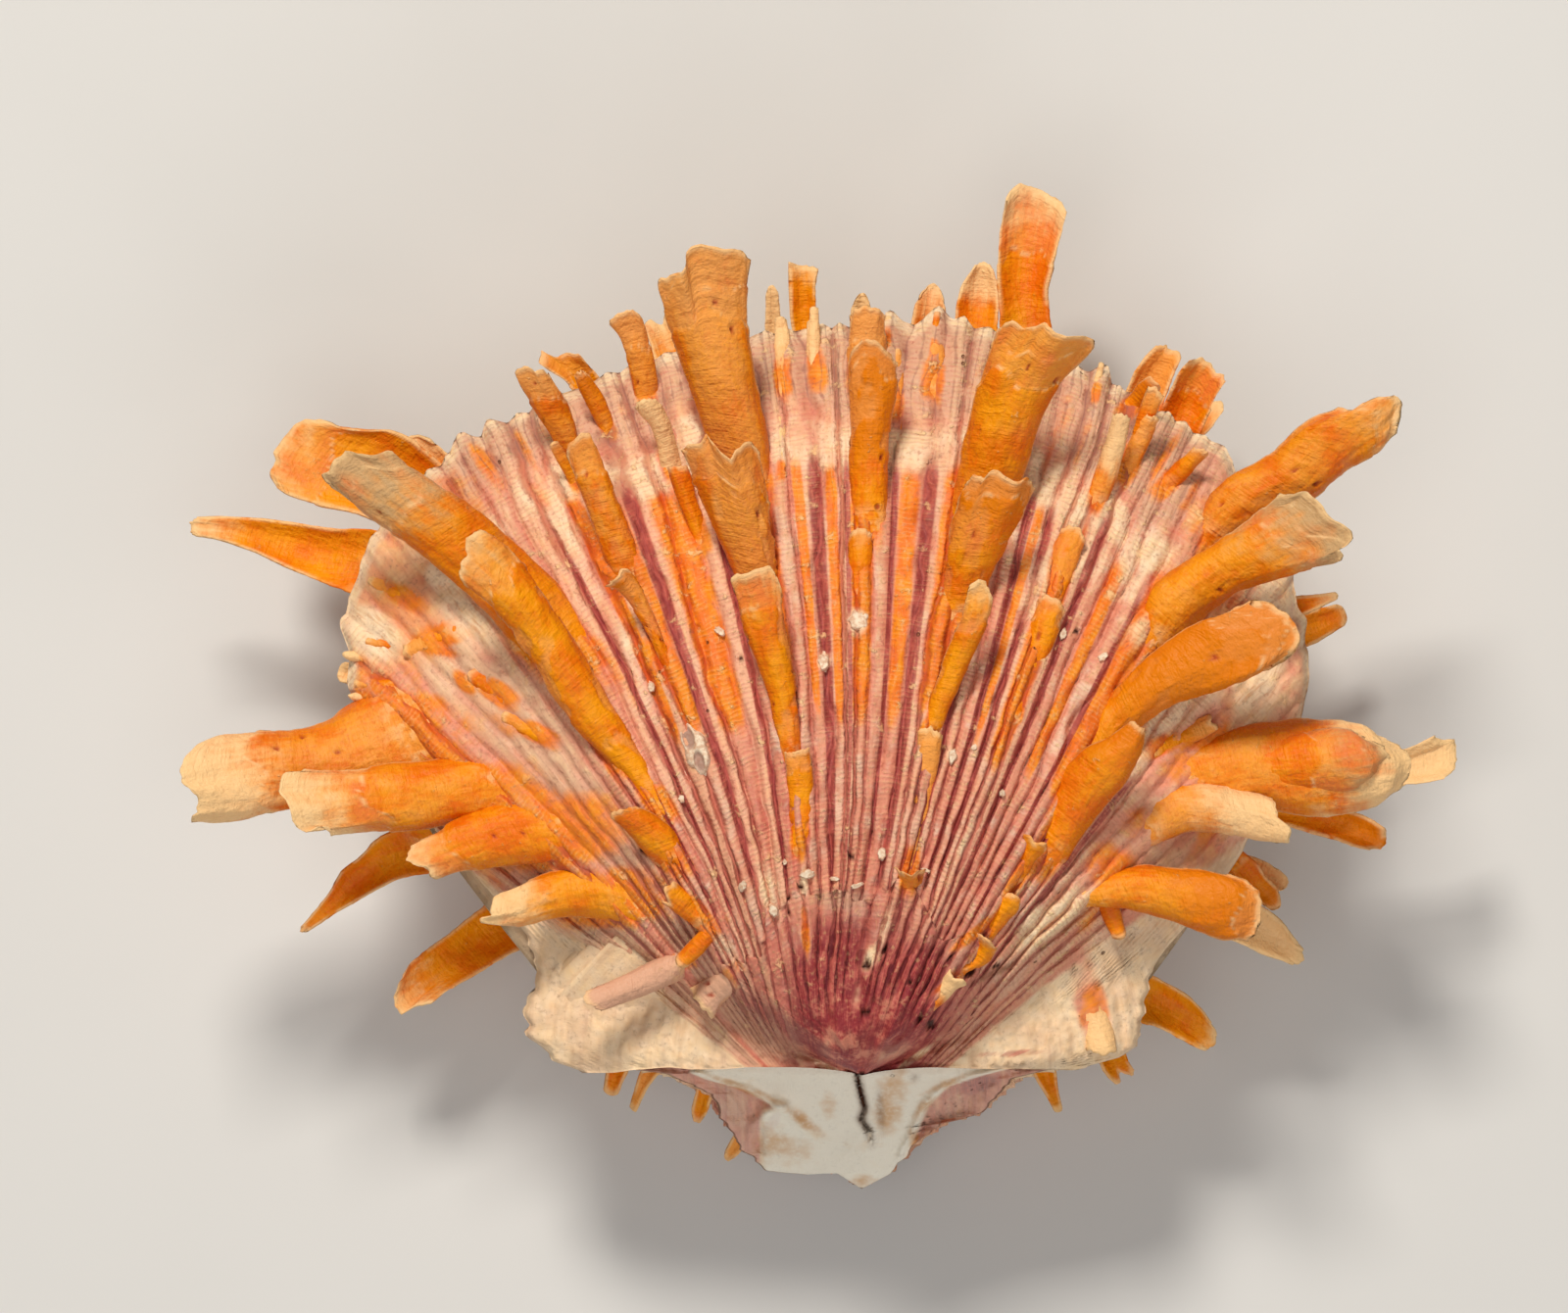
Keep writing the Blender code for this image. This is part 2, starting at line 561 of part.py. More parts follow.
def build() -> None:
    """Builds the three pieces: two valves and the ligament between them."""
    for old in list(bpy.data.objects):
        bpy.data.objects.remove(old, do_unlink=True)
    scene = bpy.context.scene
    shell = bpy.data.collections.new("thorny_oyster_shell")
    helpers = bpy.data.collections.new("helpers")
    scene.collection.children.link(shell)
    scene.collection.children.link(helpers)
    helpers.hide_render = True

    upper = upper_valve_body(shell)
    lower = lower_valve_body(shell)
    room = cavity(helpers)

    join_spines(upper, grow_spines("upper_spine", UPPER_SPINES, False, helpers))
    add_boolean(upper, "DIFFERENCE", room)

    below = (*CAVITY_MIDDLE, -GROUND_BLOCK[2] / 2)
    add_boolean(lower, "DIFFERENCE", block("ground", below, GROUND_BLOCK, helpers))
    join_spines(lower, grow_spines("lower_spine", LOWER_SPINES, True, helpers))
    add_boolean(lower, "DIFFERENCE", room)
    add_boolean(lower, "DIFFERENCE", helper(along_slit("slit", 0.0, helpers)))

    ligament = along_slit("ligament", LIGAMENT_GAP, shell)

    upper.data.materials.append(material("orange_ribbed_shell", (0.72, 0.24, 0.08), 0.5))
    lower.data.materials.append(material("cream_shell", (0.78, 0.55, 0.4), 0.5))
    ligament.data.materials.append(material("dry_ligament", (0.03, 0.02, 0.015), 0.7))


if __name__ == "__main__":
    build()
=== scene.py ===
"""Dresses a thorny oyster shell: two ribbed valves, their gutter spines and the ligament.

Lengths are in millimetres in the shell's own frame until a mesh is made: the umbo of the
upper valve is at its origin, X runs to the right along the hinge, Y from the hinge to the
far margin and Z up. Angles are in degrees about the umbo, from the Y axis towards +X.
"""

import itertools
import logging
import math
from dataclasses import dataclass, field
from enum import Enum

import bpy
import numpy as np
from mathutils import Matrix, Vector


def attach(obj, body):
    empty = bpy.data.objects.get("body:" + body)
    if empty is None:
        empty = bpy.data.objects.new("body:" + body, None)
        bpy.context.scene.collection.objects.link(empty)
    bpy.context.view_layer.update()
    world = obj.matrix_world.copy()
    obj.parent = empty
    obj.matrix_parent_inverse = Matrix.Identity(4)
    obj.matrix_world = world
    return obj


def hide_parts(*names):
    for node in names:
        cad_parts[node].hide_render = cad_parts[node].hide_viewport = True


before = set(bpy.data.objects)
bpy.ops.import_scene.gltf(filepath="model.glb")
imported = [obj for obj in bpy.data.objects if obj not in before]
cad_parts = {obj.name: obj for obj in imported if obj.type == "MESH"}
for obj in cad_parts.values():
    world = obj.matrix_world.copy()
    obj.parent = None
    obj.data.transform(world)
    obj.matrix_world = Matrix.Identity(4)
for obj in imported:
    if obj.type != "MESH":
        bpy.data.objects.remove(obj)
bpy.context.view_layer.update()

LOG = logging.getLogger("thorny_oyster_shell")
MM = 0.001
BODY = "root"

# Each group of spines has its own seeds; those of the lower valve lie in between.
GROUP_SEED_STEP = 1000
LOWER_SEED_SHIFT = 500

# Where the umbo stands, seen from the middle of the whole shell's underside.
SHELL_ORIGIN = (3.7, -38.75, 0.0)

# The valves meet in a level plane at this height, each half a gap away from it.
COMMISSURE = 25.0
HALF_GAP = 0.15

# Growth fans out from the umbo: each rib leaves it wider than it ends.
HINGE_ANGLE = 92.0
SPREAD_ANGLE = 26.0
SPREAD_REACH = 20.0
FAN_LEFT = -60.0
FAN_RIGHT = 56.0
MARGIN_BLUR = 3.0

MAIN_RIBS = (-51.5, -36.0, -23.5, -10.2, 0.0, 9.3, 20.5, 31.0, 47.5)
CRESTS = (
    -60.0, -57.4, -54.6, -51.5, -49.0, -46.6, -44.4, -42.2, -40.0, -38.0, -36.0, -34.0,
    -32.0, -30.0, -28.0, -25.8, -23.5, -20.3, -18.0, -15.3, -12.9, -10.2, -7.7, -6.1,
    -3.0, -1.6, 0.0, 1.8, 4.5, 7.5, 9.3, 11.2, 13.2, 15.1, 17.1, 19.4, 20.8, 22.6, 24.4,
    26.2, 28.2, 31.0, 33.2, 35.2, 37.4, 39.6, 42.0, 44.6, 47.5, 50.4, 53.2, 56.0,
)

# Large odd numbers that scatter the fixed random numbers.
HASH_PRIMES = np.array([374761393, 668265263, 1440662683], np.int64)
HASH_SEED_PRIME = 974634777
HASH_FACTOR = 1274126177

# The hollow of each valve narrows towards this point.
HOLLOW_MIDDLE = (-3.5, 36.0, 0.0)

# What each point carries for its finish to read.
VALVE_MARKS = (
    "rib", "reach", "ember", "wine", "pale", "mauve", "blush", "young", "bone", "pit",
    "stain", "ribbed", "umbo",
)
SPINE_MARKS = (
    "along", "run", "turn", "rim", "layer", "root", "inside", "flake", "pit", "lip",
    "side", "luck", "tint", "tint_from", "bloom",
)

# A traced spine's root is as wide as the outline there, up to this width.
WIDEST_ROOT = 9.0

Pair = tuple[float, float]
Triple = tuple[float, float, float]
Table = tuple[Pair, ...]


def srgb(red: int, green: int, blue: int) -> tuple[float, float, float, float]:
    """A colour as a shader takes it, from its screen values."""
    levels = [value / 255 for value in (red, green, blue)]
    return (*(((v + 0.055) / 1.055) ** 2.4 if v > 0.04 else v / 12.92 for v in levels), 1.0)


def smooth(low: float, high: float, value: np.ndarray) -> np.ndarray:
    """An even ramp from 0 at low to 1 at high."""
    part = np.clip((value - low) / (high - low), 0, 1)
    return part * part * (3 - 2 * part)


def fall(low: float, high: float, value: np.ndarray) -> np.ndarray:
    """An even ramp from 1 at low to 0 at high."""
    return 1 - smooth(low, high, value)


def bell(value: np.ndarray, width: float | np.ndarray) -> np.ndarray:
    """1 at 0, falling away on both sides over a width."""
    return np.exp(-((value / width) ** 2))


def window(low: float, high: float, soft: float, value: np.ndarray) -> np.ndarray:
    """1 between two values and 0 outside them, over a soft edge."""
    inside = smooth(low - soft, low + soft, value)
    return inside * fall(high - soft, high + soft, value)


def stripes(angle: np.ndarray, bands: Table) -> np.ndarray:
    """How far each angle lies in one of the bands, given as middle and half width."""
    near = [np.exp(-(((angle - middle) / half) ** 4)) for middle, half in bands]
    return np.max(near, axis=0)


def lottery(cell: np.ndarray, seed: int) -> np.ndarray:
    """A fixed random number from 0 to 1 for each whole-numbered cell.

    Args:
        cell: Whole numbers, with the cell's axes last.
        seed: Which set of numbers to draw from.

    Returns:
        The random numbers.
    """
    mixed = (cell * HASH_PRIMES[: cell.shape[-1]]).sum(axis=-1) + seed * HASH_SEED_PRIME
    mixed = (mixed ^ (mixed >> 13)) & 0xFFFFFFFF
    mixed = (mixed * HASH_FACTOR) & 0xFFFFFFFF
    return ((mixed ^ (mixed >> 16)) & 0xFFFF) / 0xFFFF


def luck_of(number: np.ndarray | int, seed: int) -> np.ndarray:
    """A fixed random number from 0 to 1 for each whole number."""
    return lottery(np.asarray(number).astype(np.int64)[..., None], seed)


def grain(seed: int, *axes: np.ndarray) -> np.ndarray:
    """Soft noise between -1 and 1 with one lump for each unit along the axes.

    Args:
        seed: Picks one of many noises.
        axes: The position along each of one to three axes.

    Returns:
        The noise at each position.
    """
    place = np.stack(np.broadcast_arrays(*axes), axis=-1)
    cell = np.floor(place).astype(np.int64)
    ease = place - cell
    ease = ease * ease * (3 - 2 * ease)
    total = np.zeros(place.shape[:-1])
    for corner in itertools.product((0, 1), repeat=place.shape[-1]):
        share = np.prod(np.where(np.array(corner) == 1, ease, 1 - ease), axis=-1)
        total += share * lottery(cell + np.array(corner), seed)
    return 2 * total - 1


def rough(seed: int, *axes: np.ndarray) -> np.ndarray:
    """Noise of three sizes laid over each other."""
    layers = (grain(seed + k, *(axis * 2.1**k for axis in axes)) * 0.5**k for k in range(3))
    return sum(layers) / 1.75


def along_line(points: Table, share: np.ndarray, smoothing: int = 0) -> np.ndarray:
    """The points at shares of the way along a line.

    Args:
        points: The corners of the line.
        share: Shares of its length, from 0 to 1.
        smoothing: How many times the line is softened, its ends apart.

    Returns:
        Plan positions.
    """
    line = np.array(points, float)
    travelled = np.concatenate(([0], np.cumsum(np.hypot(*np.diff(line, axis=0).T))))
    if smoothing:
        steps = np.linspace(0, 1, 61)
        dense = [np.interp(steps * travelled[-1], travelled, line[:, k]) for k in (0, 1)]
        line, travelled = np.stack(dense, axis=-1), steps
        for _ in range(smoothing):
            line[1:-1] = (line[:-2] + 2 * line[1:-1] + line[2:]) / 4
    wanted = share * travelled[-1]
    return np.stack([np.interp(wanted, travelled, line[:, k]) for k in (0, 1)], axis=-1)


def blurred(table: Table, angle: np.ndarray) -> np.ndarray:
    """Reads a table of pairs at an angle, averaged over MARGIN_BLUR each way.

    Args:
        table: Pairs of an angle and a value.
        angle: Where to read it, in degrees.

    Returns:
        The averaged values.
    """
    angles, values = zip(*table)
    shifts = np.linspace(-MARGIN_BLUR, MARGIN_BLUR, 7)
    return np.mean([np.interp(angle + shift, angles, values) for shift in shifts], axis=0)


def grown_angle(end_angle: np.ndarray, distance: np.ndarray) -> np.ndarray:
    """The angle at which the rib with this end angle passes, at this distance."""
    swing = np.sin(np.pi * end_angle / HINGE_ANGLE)
    return end_angle + SPREAD_ANGLE * swing * np.exp(-distance / SPREAD_REACH)


def end_angle_through(x: np.ndarray, y: np.ndarray) -> np.ndarray:
    """The end angle of the rib through each point, found by halving.

    Args:
        x: Plan positions along the hinge, in millimetres.
        y: Plan positions from the hinge to the far margin.

    Returns:
        The end angles, in degrees.
    """
    wanted, distance = np.degrees(np.arctan2(x, y)), np.hypot(x, y)
    low = np.full_like(distance, -HINGE_ANGLE)
    high = np.full_like(distance, HINGE_ANGLE)
    for _ in range(30):
        middle = (low + high) / 2
        short = grown_angle(middle, distance) < wanted
        low, high = np.where(short, middle, low), np.where(short, high, middle)
    return (low + high) / 2


def on_fan(end_angle: np.ndarray, distance: np.ndarray) -> tuple[np.ndarray, np.ndarray]:
    """The plan position at a distance from the umbo along a rib."""
    angle = np.radians(grown_angle(end_angle, distance))
    return distance * np.sin(angle), distance * np.cos(angle)


class TipForm(Enum):
    """How the far end of a spine is shaped."""

    RAGGED = "ragged"
    ROUNDED = "rounded"
    POINTED = "pointed"
    CUT = "cut"


class TipTint(Enum):
    """What a spine turns to at its tip, as a place on the colour strip of its finish."""

    ORANGE = 0.05
    SALMON = 0.25
    CREAM = 0.42
    ASH = 0.58
    MUSTARD = 0.75
    BLUSH = 0.92


@dataclass(frozen=True)
class Spine:
    """A gutter-shaped spine: where it grows, how wide, and how it ends.

    Height is that of the tip over the commissure; a lying spine follows the shell, and
    its height is how far its tip stands off it. Tint_from is the share of its length
    from which it takes the tint of its tip. Flare, bend and foot are how far it widens
    at its tip, curves sideways and widens at its root. Bloom is how far its back turns
    salmon, and flaky how much of its skin has come off. Arc is half of the arc that it
    spans at its tip, in degrees, and thick is 1 for a filled rod. Layers are the
    distances from its edge at which a growth layer ends. A spine with an edge follows
    its own two sides and its edge as seen from above.
    """

    root: Pair
    tip: Pair
    root_width: float
    tip_width: float
    height: float
    form: TipForm = TipForm.RAGGED
    tint: TipTint = TipTint.ORANGE
    tint_from: float = 0.8
    flare: float = 0.0
    bend: float = 0.0
    foot: float = 0.0
    bloom: float = 0.2
    flaky: float = 0.0
    arc: float = 66.0
    thick: float = 0.0
    lying: bool = False
    layers: tuple[float, ...] = ()
    left: Table = ()
    right: Table = ()
    edge: Table = ()

    @property
    def reach(self) -> float:
        """Length of the spine as seen from above."""
        return math.dist(self.root, self.tip)


def traced(left: Table, right: Table, edge: Table, height: float, tint: TipTint,
           tint_from: float, root_width: float = 0.0,
           **looks: float | bool | TipForm | tuple[float, ...]) -> Spine:
    """A spine that follows its outline as seen from above.

    Args:
        left: Its left side from root to tip, in tenths of a millimetre.
        right: Its right side.
        edge: The corners of its far edge between the ends of its two sides.
        height: Height of its tip over the commissure, in millimetres.
        tint: What it turns to at its tip.
        tint_from: The share of its length from which it does.
        root_width: Width at the root, where it isn't that between the sides.
        looks: Any other field of the spine.

    Returns:
        The spine.
    """
    edge = (left[-1], *edge, right[-1])
    sides = (left, right, edge)
    left, right, edge = (tuple((x / 10, y / 10) for x, y in line) for line in sides)
    root = tuple(np.mean((left[0], right[0]), axis=0))
    tip = tuple(np.mean((left[-1], right[-1], np.mean(edge, axis=0)), axis=0))
    root_width = root_width or min(WIDEST_ROOT, math.dist(left[0], right[0]))
    tip_width = math.dist(left[-1], right[-1])
    shape = {"left": left, "right": right, "edge": edge}
    return Spine(root, tip, root_width, tip_width, height, tint=tint, tint_from=tint_from,
                 **shape, **looks)


RAGGED, ROUNDED, POINTED, CUT = TipForm
ORANGE, SALMON, CREAM, ASH, MUSTARD, BLUSH = TipTint

UPPER_SPINES = {
    "small_scales": (
        Spine((-41.6, 44.2), (-47, 41.8), 3.0, 1.8, 0.7, RAGGED, SALMON, 0.4, lying=True),
        Spine((-47.6, 42.5), (-50.8, 43.1), 1.7, 1.0, 0.6, POINTED, SALMON, 0.3, lying=True),
        Spine((-48.4, 38.5), (-52, 38.8), 1.7, 1.0, 0.7, POINTED, SALMON, 0.3, lying=True),
        Spine((-36.6, 37.4), (-40.2, 39.9), 2.6, 1.4, 0.9, POINTED, ORANGE, 0.9, lying=True),
        Spine((-32.2, 33.2), (-36.8, 35.6), 2.2, 1.2, 0.7, POINTED, SALMON, 0.5, lying=True),
        Spine((-51, 41.4), (-53.2, 41.7), 1.2, 0.9, 2.8, ROUNDED, CREAM, 0.0),
        Spine((-50.5, 37.3), (-52.6, 37.5), 1.1, 0.8, 3.4, ROUNDED, CREAM, 0.0),
        Spine((-46, 47.2), (-50.5, 49.5), 2.0, 1.0, 0.6, POINTED, SALMON, 0.4, lying=True),
        Spine((15.8, 19.0), (17.7, 23.0), 1.6, 2.3, 1.3, RAGGED, MUSTARD, 0.9, 0.3, lying=True),
        Spine((12.8, 13.2), (15.5, 17.3), 1.6, 2.5, 1.1, ROUNDED, ORANGE, 0.9, 0.2, lying=True),
        Spine((10.2, 9.8), (12.6, 13.0), 1.6, 2.2, 0.9, RAGGED, ORANGE, 0.9, 0.4, 0.2, flaky=1.0,
              lying=True),
        Spine((6.8, 5.8), (9.6, 9.2), 1.7, 2.2, 0.7, RAGGED, CREAM, 0.2, 0.3, flaky=1.0,
              lying=True),
        Spine((29.5, 32.0), (36, 34.9), 2.6, 1.8, 1.4, RAGGED, SALMON, 0.5, lying=True),
        Spine((27, 60.5), (29.5, 66.5), 2.6, 1.9, 8.6, RAGGED, SALMON, 0.5, bloom=0.7, flaky=0.8),
        Spine((30.6, 58.6), (34.8, 62.8), 2.6, 1.7, 8.0, RAGGED, MUSTARD, 0.7, flaky=0.8),
        Spine((27.4, 67), (30, 69.6), 2.4, 2.0, 6.5, RAGGED, MUSTARD, 0.2),
        Spine((-12.4, 9.8), (-16.8, 6.0), 2.6, 3.4, 7.2, RAGGED, BLUSH, -0.6, 0.2, bloom=0.9,
              flaky=1.0),
        Spine((-29.2, 59), (-31.5, 63.4), 1.4, 1.0, 11.0, POINTED, SALMON, 0.5),
        Spine((-8.0, 69.0), (-8.4, 76.3), 2.4, 1.2, 1.2, POINTED, CREAM, 0.3, bloom=0.8,
              lying=True),
        Spine((-4.6, 70.0), (-5.0, 76.0), 2.4, 1.1, 0.8, POINTED, CREAM, 0.1, bloom=0.8,
              lying=True),
        Spine((7.1, 69.0), (7.7, 74.2), 2.8, 2.0, 0.9, ROUNDED, SALMON, 0.5, bloom=0.8, flaky=0.6,
              lying=True),
        Spine((3.4, 66.5), (3.6, 73), 2.0, 0.9, 0.7, POINTED, SALMON, 0.3, bloom=0.8, lying=True),
        Spine((-4.9, 71), (-4.9, 77.3), 1.6, 0.8, 3.6, POINTED, CREAM, -0.2),
        Spine((7.3, 72.5), (7.7, 76.8), 1.3, 0.7, 3.2, POINTED, ORANGE, 0.6),
        Spine((-8.3, 60), (-8.4, 66), 1.2, 0.9, 0.3, POINTED, CREAM, 0.1, lying=True),
        Spine((23.8, 68), (24.5, 71.6), 1.1, 0.6, 3.6, POINTED, CREAM, -0.2),
        Spine((2.6, 73.8), (2.7, 76.4), 1.1, 0.6, 2.6, POINTED, CREAM, -0.2),
    ),
    "far_left_rib": (
        traced(((-190, 82), (-230, 66), (-267, 54)),
               ((-180, 123), (-230, 97), (-280, 74)),
               ((-276, 58), (-283, 63), (-285, 68)),
               9.5, BLUSH, -0.6, bloom=0.9, root_width=2.6),
        traced(((-230, 139), (-260, 147), (-295, 150), (-320, 147), (-340, 141), (-360, 137),
                (-377, 141)),
               ((-255, 201), (-280, 205), (-305, 200), (-330, 192), (-350, 182), (-363, 177)),
               ((-388, 143), (-390, 148), (-378, 151), (-379, 161), (-376, 171), (-370, 176)),
               9.0, CREAM, 0.62, bloom=0.4, layers=(2.2,)),
        traced(((-280, 201), (-320, 203), (-360, 201), (-390, 197), (-415, 192), (-435, 187)),
               ((-320, 273), (-350, 270), (-380, 265), (-405, 255), (-430, 240), (-450, 231)),
               ((-441, 189), (-443, 197), (-454, 202), (-465, 208), (-463, 216), (-460, 224)),
               8.5, CREAM, 0.86, bloom=0.3),
        traced(((-370, 255), (-410, 247), (-450, 239), (-485, 236), (-515, 232), (-540, 230)),
               ((-380, 312), (-410, 313), (-445, 310), (-480, 307), (-515, 302), (-545, 300),
                (-568, 302)),
               ((-550, 239), (-555, 239), (-565, 234), (-574, 239), (-580, 247), (-582, 260),
                (-586, 270), (-594, 277), (-595, 287), (-592, 296), (-585, 300), (-577, 296)),
               9.5, CREAM, 0.7, bloom=0.45),
        traced(((-430, 253), (-480, 253), (-540, 255), (-590, 259), (-635, 243), (-665, 241),
                (-686, 243)),
               ((-488, 395), (-518, 371), (-545, 350), (-580, 339), (-620, 339), (-655, 337),
                (-675, 328)),
               ((-683, 250), (-678, 255), (-679, 271), (-683, 277), (-690, 282), (-695, 289),
                (-695, 303), (-690, 315), (-683, 323)),
               6.0, CREAM, 0.6, bloom=0.6, layers=(6.0,)),
    ),
    "left_rib": (
        Spine((-15.2, 13.8), (-18.8, 10), 2.2, 1.6, 13.0, POINTED, ORANGE, 0.9),
        Spine((-16.3, 14.8), (-20.2, 18), 2.8, 2.4, 16.0, RAGGED, ORANGE, 0.9),
        traced(((-212, 205), (-228, 223), (-242, 239), (-255, 251)),
               ((-177, 213), (-190, 237), (-212, 256), (-230, 262)),
               ((-256, 256), (-248, 258), (-240, 262)),
               17.0, MUSTARD, 0.8, bloom=0.2),
        traced(((-218, 257), (-252, 305), (-288, 339), (-318, 373), (-339, 415), (-363, 449),
                (-388, 473), (-405, 484)),
               ((-188, 259), (-208, 288), (-228, 323), (-252, 363), (-270, 397), (-292, 430),
                (-314, 465), (-332, 495), (-350, 521), (-373, 540)),
               ((-411, 494), (-409, 508), (-401, 516), (-404, 526), (-401, 536), (-394, 542),
                (-383, 544)),
               18.5, CREAM, 0.93, bloom=0.15, flaky=1.0, layers=(4.5,)),
        traced(((-320, 380), (-358, 429), (-408, 485), (-450, 520), (-493, 547), (-528, 573),
                (-542, 584)),
               ((-268, 435), (-315, 495), (-362, 538), (-402, 573), (-435, 594), (-460, 609),
                (-469, 617)),
               ((-550, 591), (-553, 597), (-544, 602), (-542, 610), (-534, 617), (-526, 624),
                (-519, 624), (-510, 621), (-494, 620), (-484, 625), (-476, 623)),
               14.5, ASH, 0.68, flaky=0.4, layers=(3.0, 6.5)),
    ),
    "left_middle_rib": (
        Spine((-16.5, 53.5), (-19, 61), 2.2, 1.8, 13.0, CUT, ORANGE, 0.9),
        traced(((-208, 413), (-223, 445), (-240, 471), (-253, 485), (-263, 487)),
               ((-187, 395), (-198, 425), (-210, 457), (-220, 481), (-232, 499)),
               ((-258, 488), (-250, 497), (-243, 505), (-237, 504)),
               17.5, MUSTARD, 0.7, bloom=0.1, flaky=1.0),
        traced(((-252, 493), (-266, 525), (-280, 563), (-294, 593), (-304, 619)),
               ((-223, 500), (-234, 533), (-249, 573), (-260, 603), (-268, 627)),
               ((-303, 629), (-295, 636), (-286, 643), (-277, 643)),
               15.5, MUSTARD, 0.8, bloom=0.5, flaky=0.6),
        traced(((-305, 620), (-328, 653), (-344, 679), (-354, 701)),
               ((-285, 623), (-294, 655), (-305, 681), (-317, 703)),
               ((-352, 708), (-341, 711), (-333, 705), (-326, 708)),
               11.0, SALMON, 0.6, bloom=0.5),
        traced(((-232, 677), (-240, 713), (-250, 739), (-260, 752)),
               ((-208, 683), (-211, 713), (-217, 739), (-222, 759)),
               ((-259, 759), (-251, 764), (-239, 768), (-230, 767)),
               7.5, SALMON, 0.5, bloom=0.6),
        traced(((-204, 599), (-208, 630), (-216, 652), (-226, 661), (-230, 668)),
               ((-183, 605), (-190, 630), (-196, 655), (-204, 671), (-212, 676)),
               ((-229, 674), (-222, 677)),
               12.0, CREAM, -0.6, bloom=1.0, thick=1.0),
        traced(((-267, 643), (-280, 670), (-290, 689), (-293, 701)),
               ((-253, 653), (-264, 680), (-274, 695), (-283, 707)),
               ((-290, 705),),
               10.0, MUSTARD, 0.4, bloom=0.5),
    ),
    "rib_left_of_middle": (
        traced(((-73, 221), (-75, 250), (-78, 285), (-81, 317)),
               ((-58, 215), (-49, 245), (-51, 285), (-53, 322)),
               ((-67, 319),),
               17.3, MUSTARD, 0.95, bloom=0.0, flaky=1.0, arc=42, root_width=2.0),
        traced(((-81, 310), (-92, 360), (-109, 413), (-124, 453), (-134, 481)),
               ((-62, 317), (-67, 380), (-74, 423), (-79, 455), (-83, 483)),
               ((-136, 493), (-128, 499), (-118, 498), (-105, 505), (-94, 508), (-88, 501)),
               20.5, CREAM, 0.86, bloom=0.2, flaky=1.0, layers=(3.0,)),
        traced(((-124, 481), (-143, 529), (-163, 573), (-178, 603), (-188, 625)),
               ((-85, 465), (-88, 523), (-93, 563), (-97, 601), (-102, 623)),
               ((-182, 630), (-168, 633), (-161, 641), (-153, 633), (-145, 624), (-134, 615),
                (-126, 625), (-117, 633), (-109, 632)),
               18.0, MUSTARD, 0.8, bloom=0.9, flaky=1.0, layers=(4.0,)),
        traced(((-148, 607), (-164, 649), (-176, 683), (-187, 717), (-199, 755), (-210, 788)),
               ((-90, 580), (-95, 625), (-103, 670), (-111, 713), (-117, 750), (-116, 787),
                (-114, 817)),
               ((-209, 797), (-197, 801), (-185, 803), (-180, 811), (-180, 823), (-174, 831),
                (-164, 834), (-140, 829), (-122, 829)),
               17.0, SALMON, 0.7, bloom=0.75, flaky=0.3, layers=(2.4, 5.5)),
    ),
    "middle_rib": (
        traced(((-11, 485), (-14, 505), (-15, 525), (-15, 540)),
               ((5, 485), (9, 505), (11, 525), (11, 540)),
               ((-8, 545), (4, 544)),
               13.2, ORANGE, 0.9, flaky=1.0, arc=48, root_width=2.0),
        traced(((-12, 550), (-12, 595), (-14, 640), (-16, 680), (-17, 715)),
               ((26, 550), (26, 595), (29, 640), (33, 680), (38, 715)),
               ((-14, 724), (-6, 733), (4, 739), (13, 737), (23, 728)),
               14.0, MUSTARD, 0.3, bloom=0.0, flaky=1.0, layers=(2.0,)),
        traced(((-16, 700), (-17, 735), (-16, 763)),
               ((25, 705), (25, 740), (26, 763)),
               ((-10, 770), (4, 772), (19, 770)),
               6.0, SALMON, 0.0, bloom=1.0),
    ),
    "rib_right_of_middle": (
        traced(((35, 177), (31, 189), (29, 201)),
               ((56, 175), (63, 184), (66, 198)),
               ((38, 197), (50, 192), (60, 199)),
               17.6, MUSTARD, 0.9, bloom=0.0, arc=56, root_width=2.2),
        traced(((38, 197), (45, 235), (46, 270), (52, 305), (56, 340)),
               ((56, 195), (66, 235), (71, 270), (77, 305), (81, 335)),
               ((68, 344),),
               16.9, SALMON, 0.1, bloom=0.7, flaky=1.0, arc=42, root_width=2.0),
        traced(((58, 343), (72, 383), (86, 423), (100, 457), (105, 475)),
               ((78, 337), (97, 379), (112, 415), (126, 445), (133, 473)),
               ((107, 486), (115, 493), (125, 491)),
               20.5, CREAM, 0.85, flaky=0.9),
        traced(((77, 460), (81, 499), (86, 533), (93, 565), (101, 591)),
               ((118, 457), (133, 500), (148, 533), (166, 560), (178, 586)),
               ((111, 601), (120, 595), (132, 605), (142, 599), (154, 592), (167, 596)),
               18.5, MUSTARD, 0.6, bloom=0.1, flaky=0.7, layers=(1.8,)),
        traced(((78, 540), (93, 590), (104, 640), (115, 683), (126, 723), (134, 747)),
               ((142, 525), (160, 582), (170, 621), (183, 659), (202, 691), (223, 717), (236, 727)),
               ((148, 757), (161, 748), (174, 749), (186, 755), (193, 743), (207, 740), (226, 740),
                (235, 735)),
               18.0, SALMON, 0.85, bloom=0.2, flaky=0.2, layers=(2.0, 5.0)),
    ),
    "right_middle_rib": (
        traced(((146, 357), (160, 397), (168, 440), (175, 471)),
               ((162, 355), (180, 395), (196, 430), (208, 461)),
               ((186, 479), (200, 474)),
               12.9, MUSTARD, 0.9, bloom=0.1, flaky=1.0, arc=48, root_width=2.0),
        traced(((182, 471), (187, 500), (193, 528), (200, 544)),
               ((200, 469), (214, 495), (224, 520), (228, 533)),
               ((210, 549), (224, 544)),
               10.7, ORANGE, 0.9, bloom=0.1, flaky=0.8, arc=48, root_width=2.0),
        traced(((228, 577), (238, 607), (248, 637), (255, 660)),
               ((248, 570), (260, 597), (268, 630), (273, 657)),
               ((263, 664),),
               11.0, CREAM, 0.25, bloom=0.6),
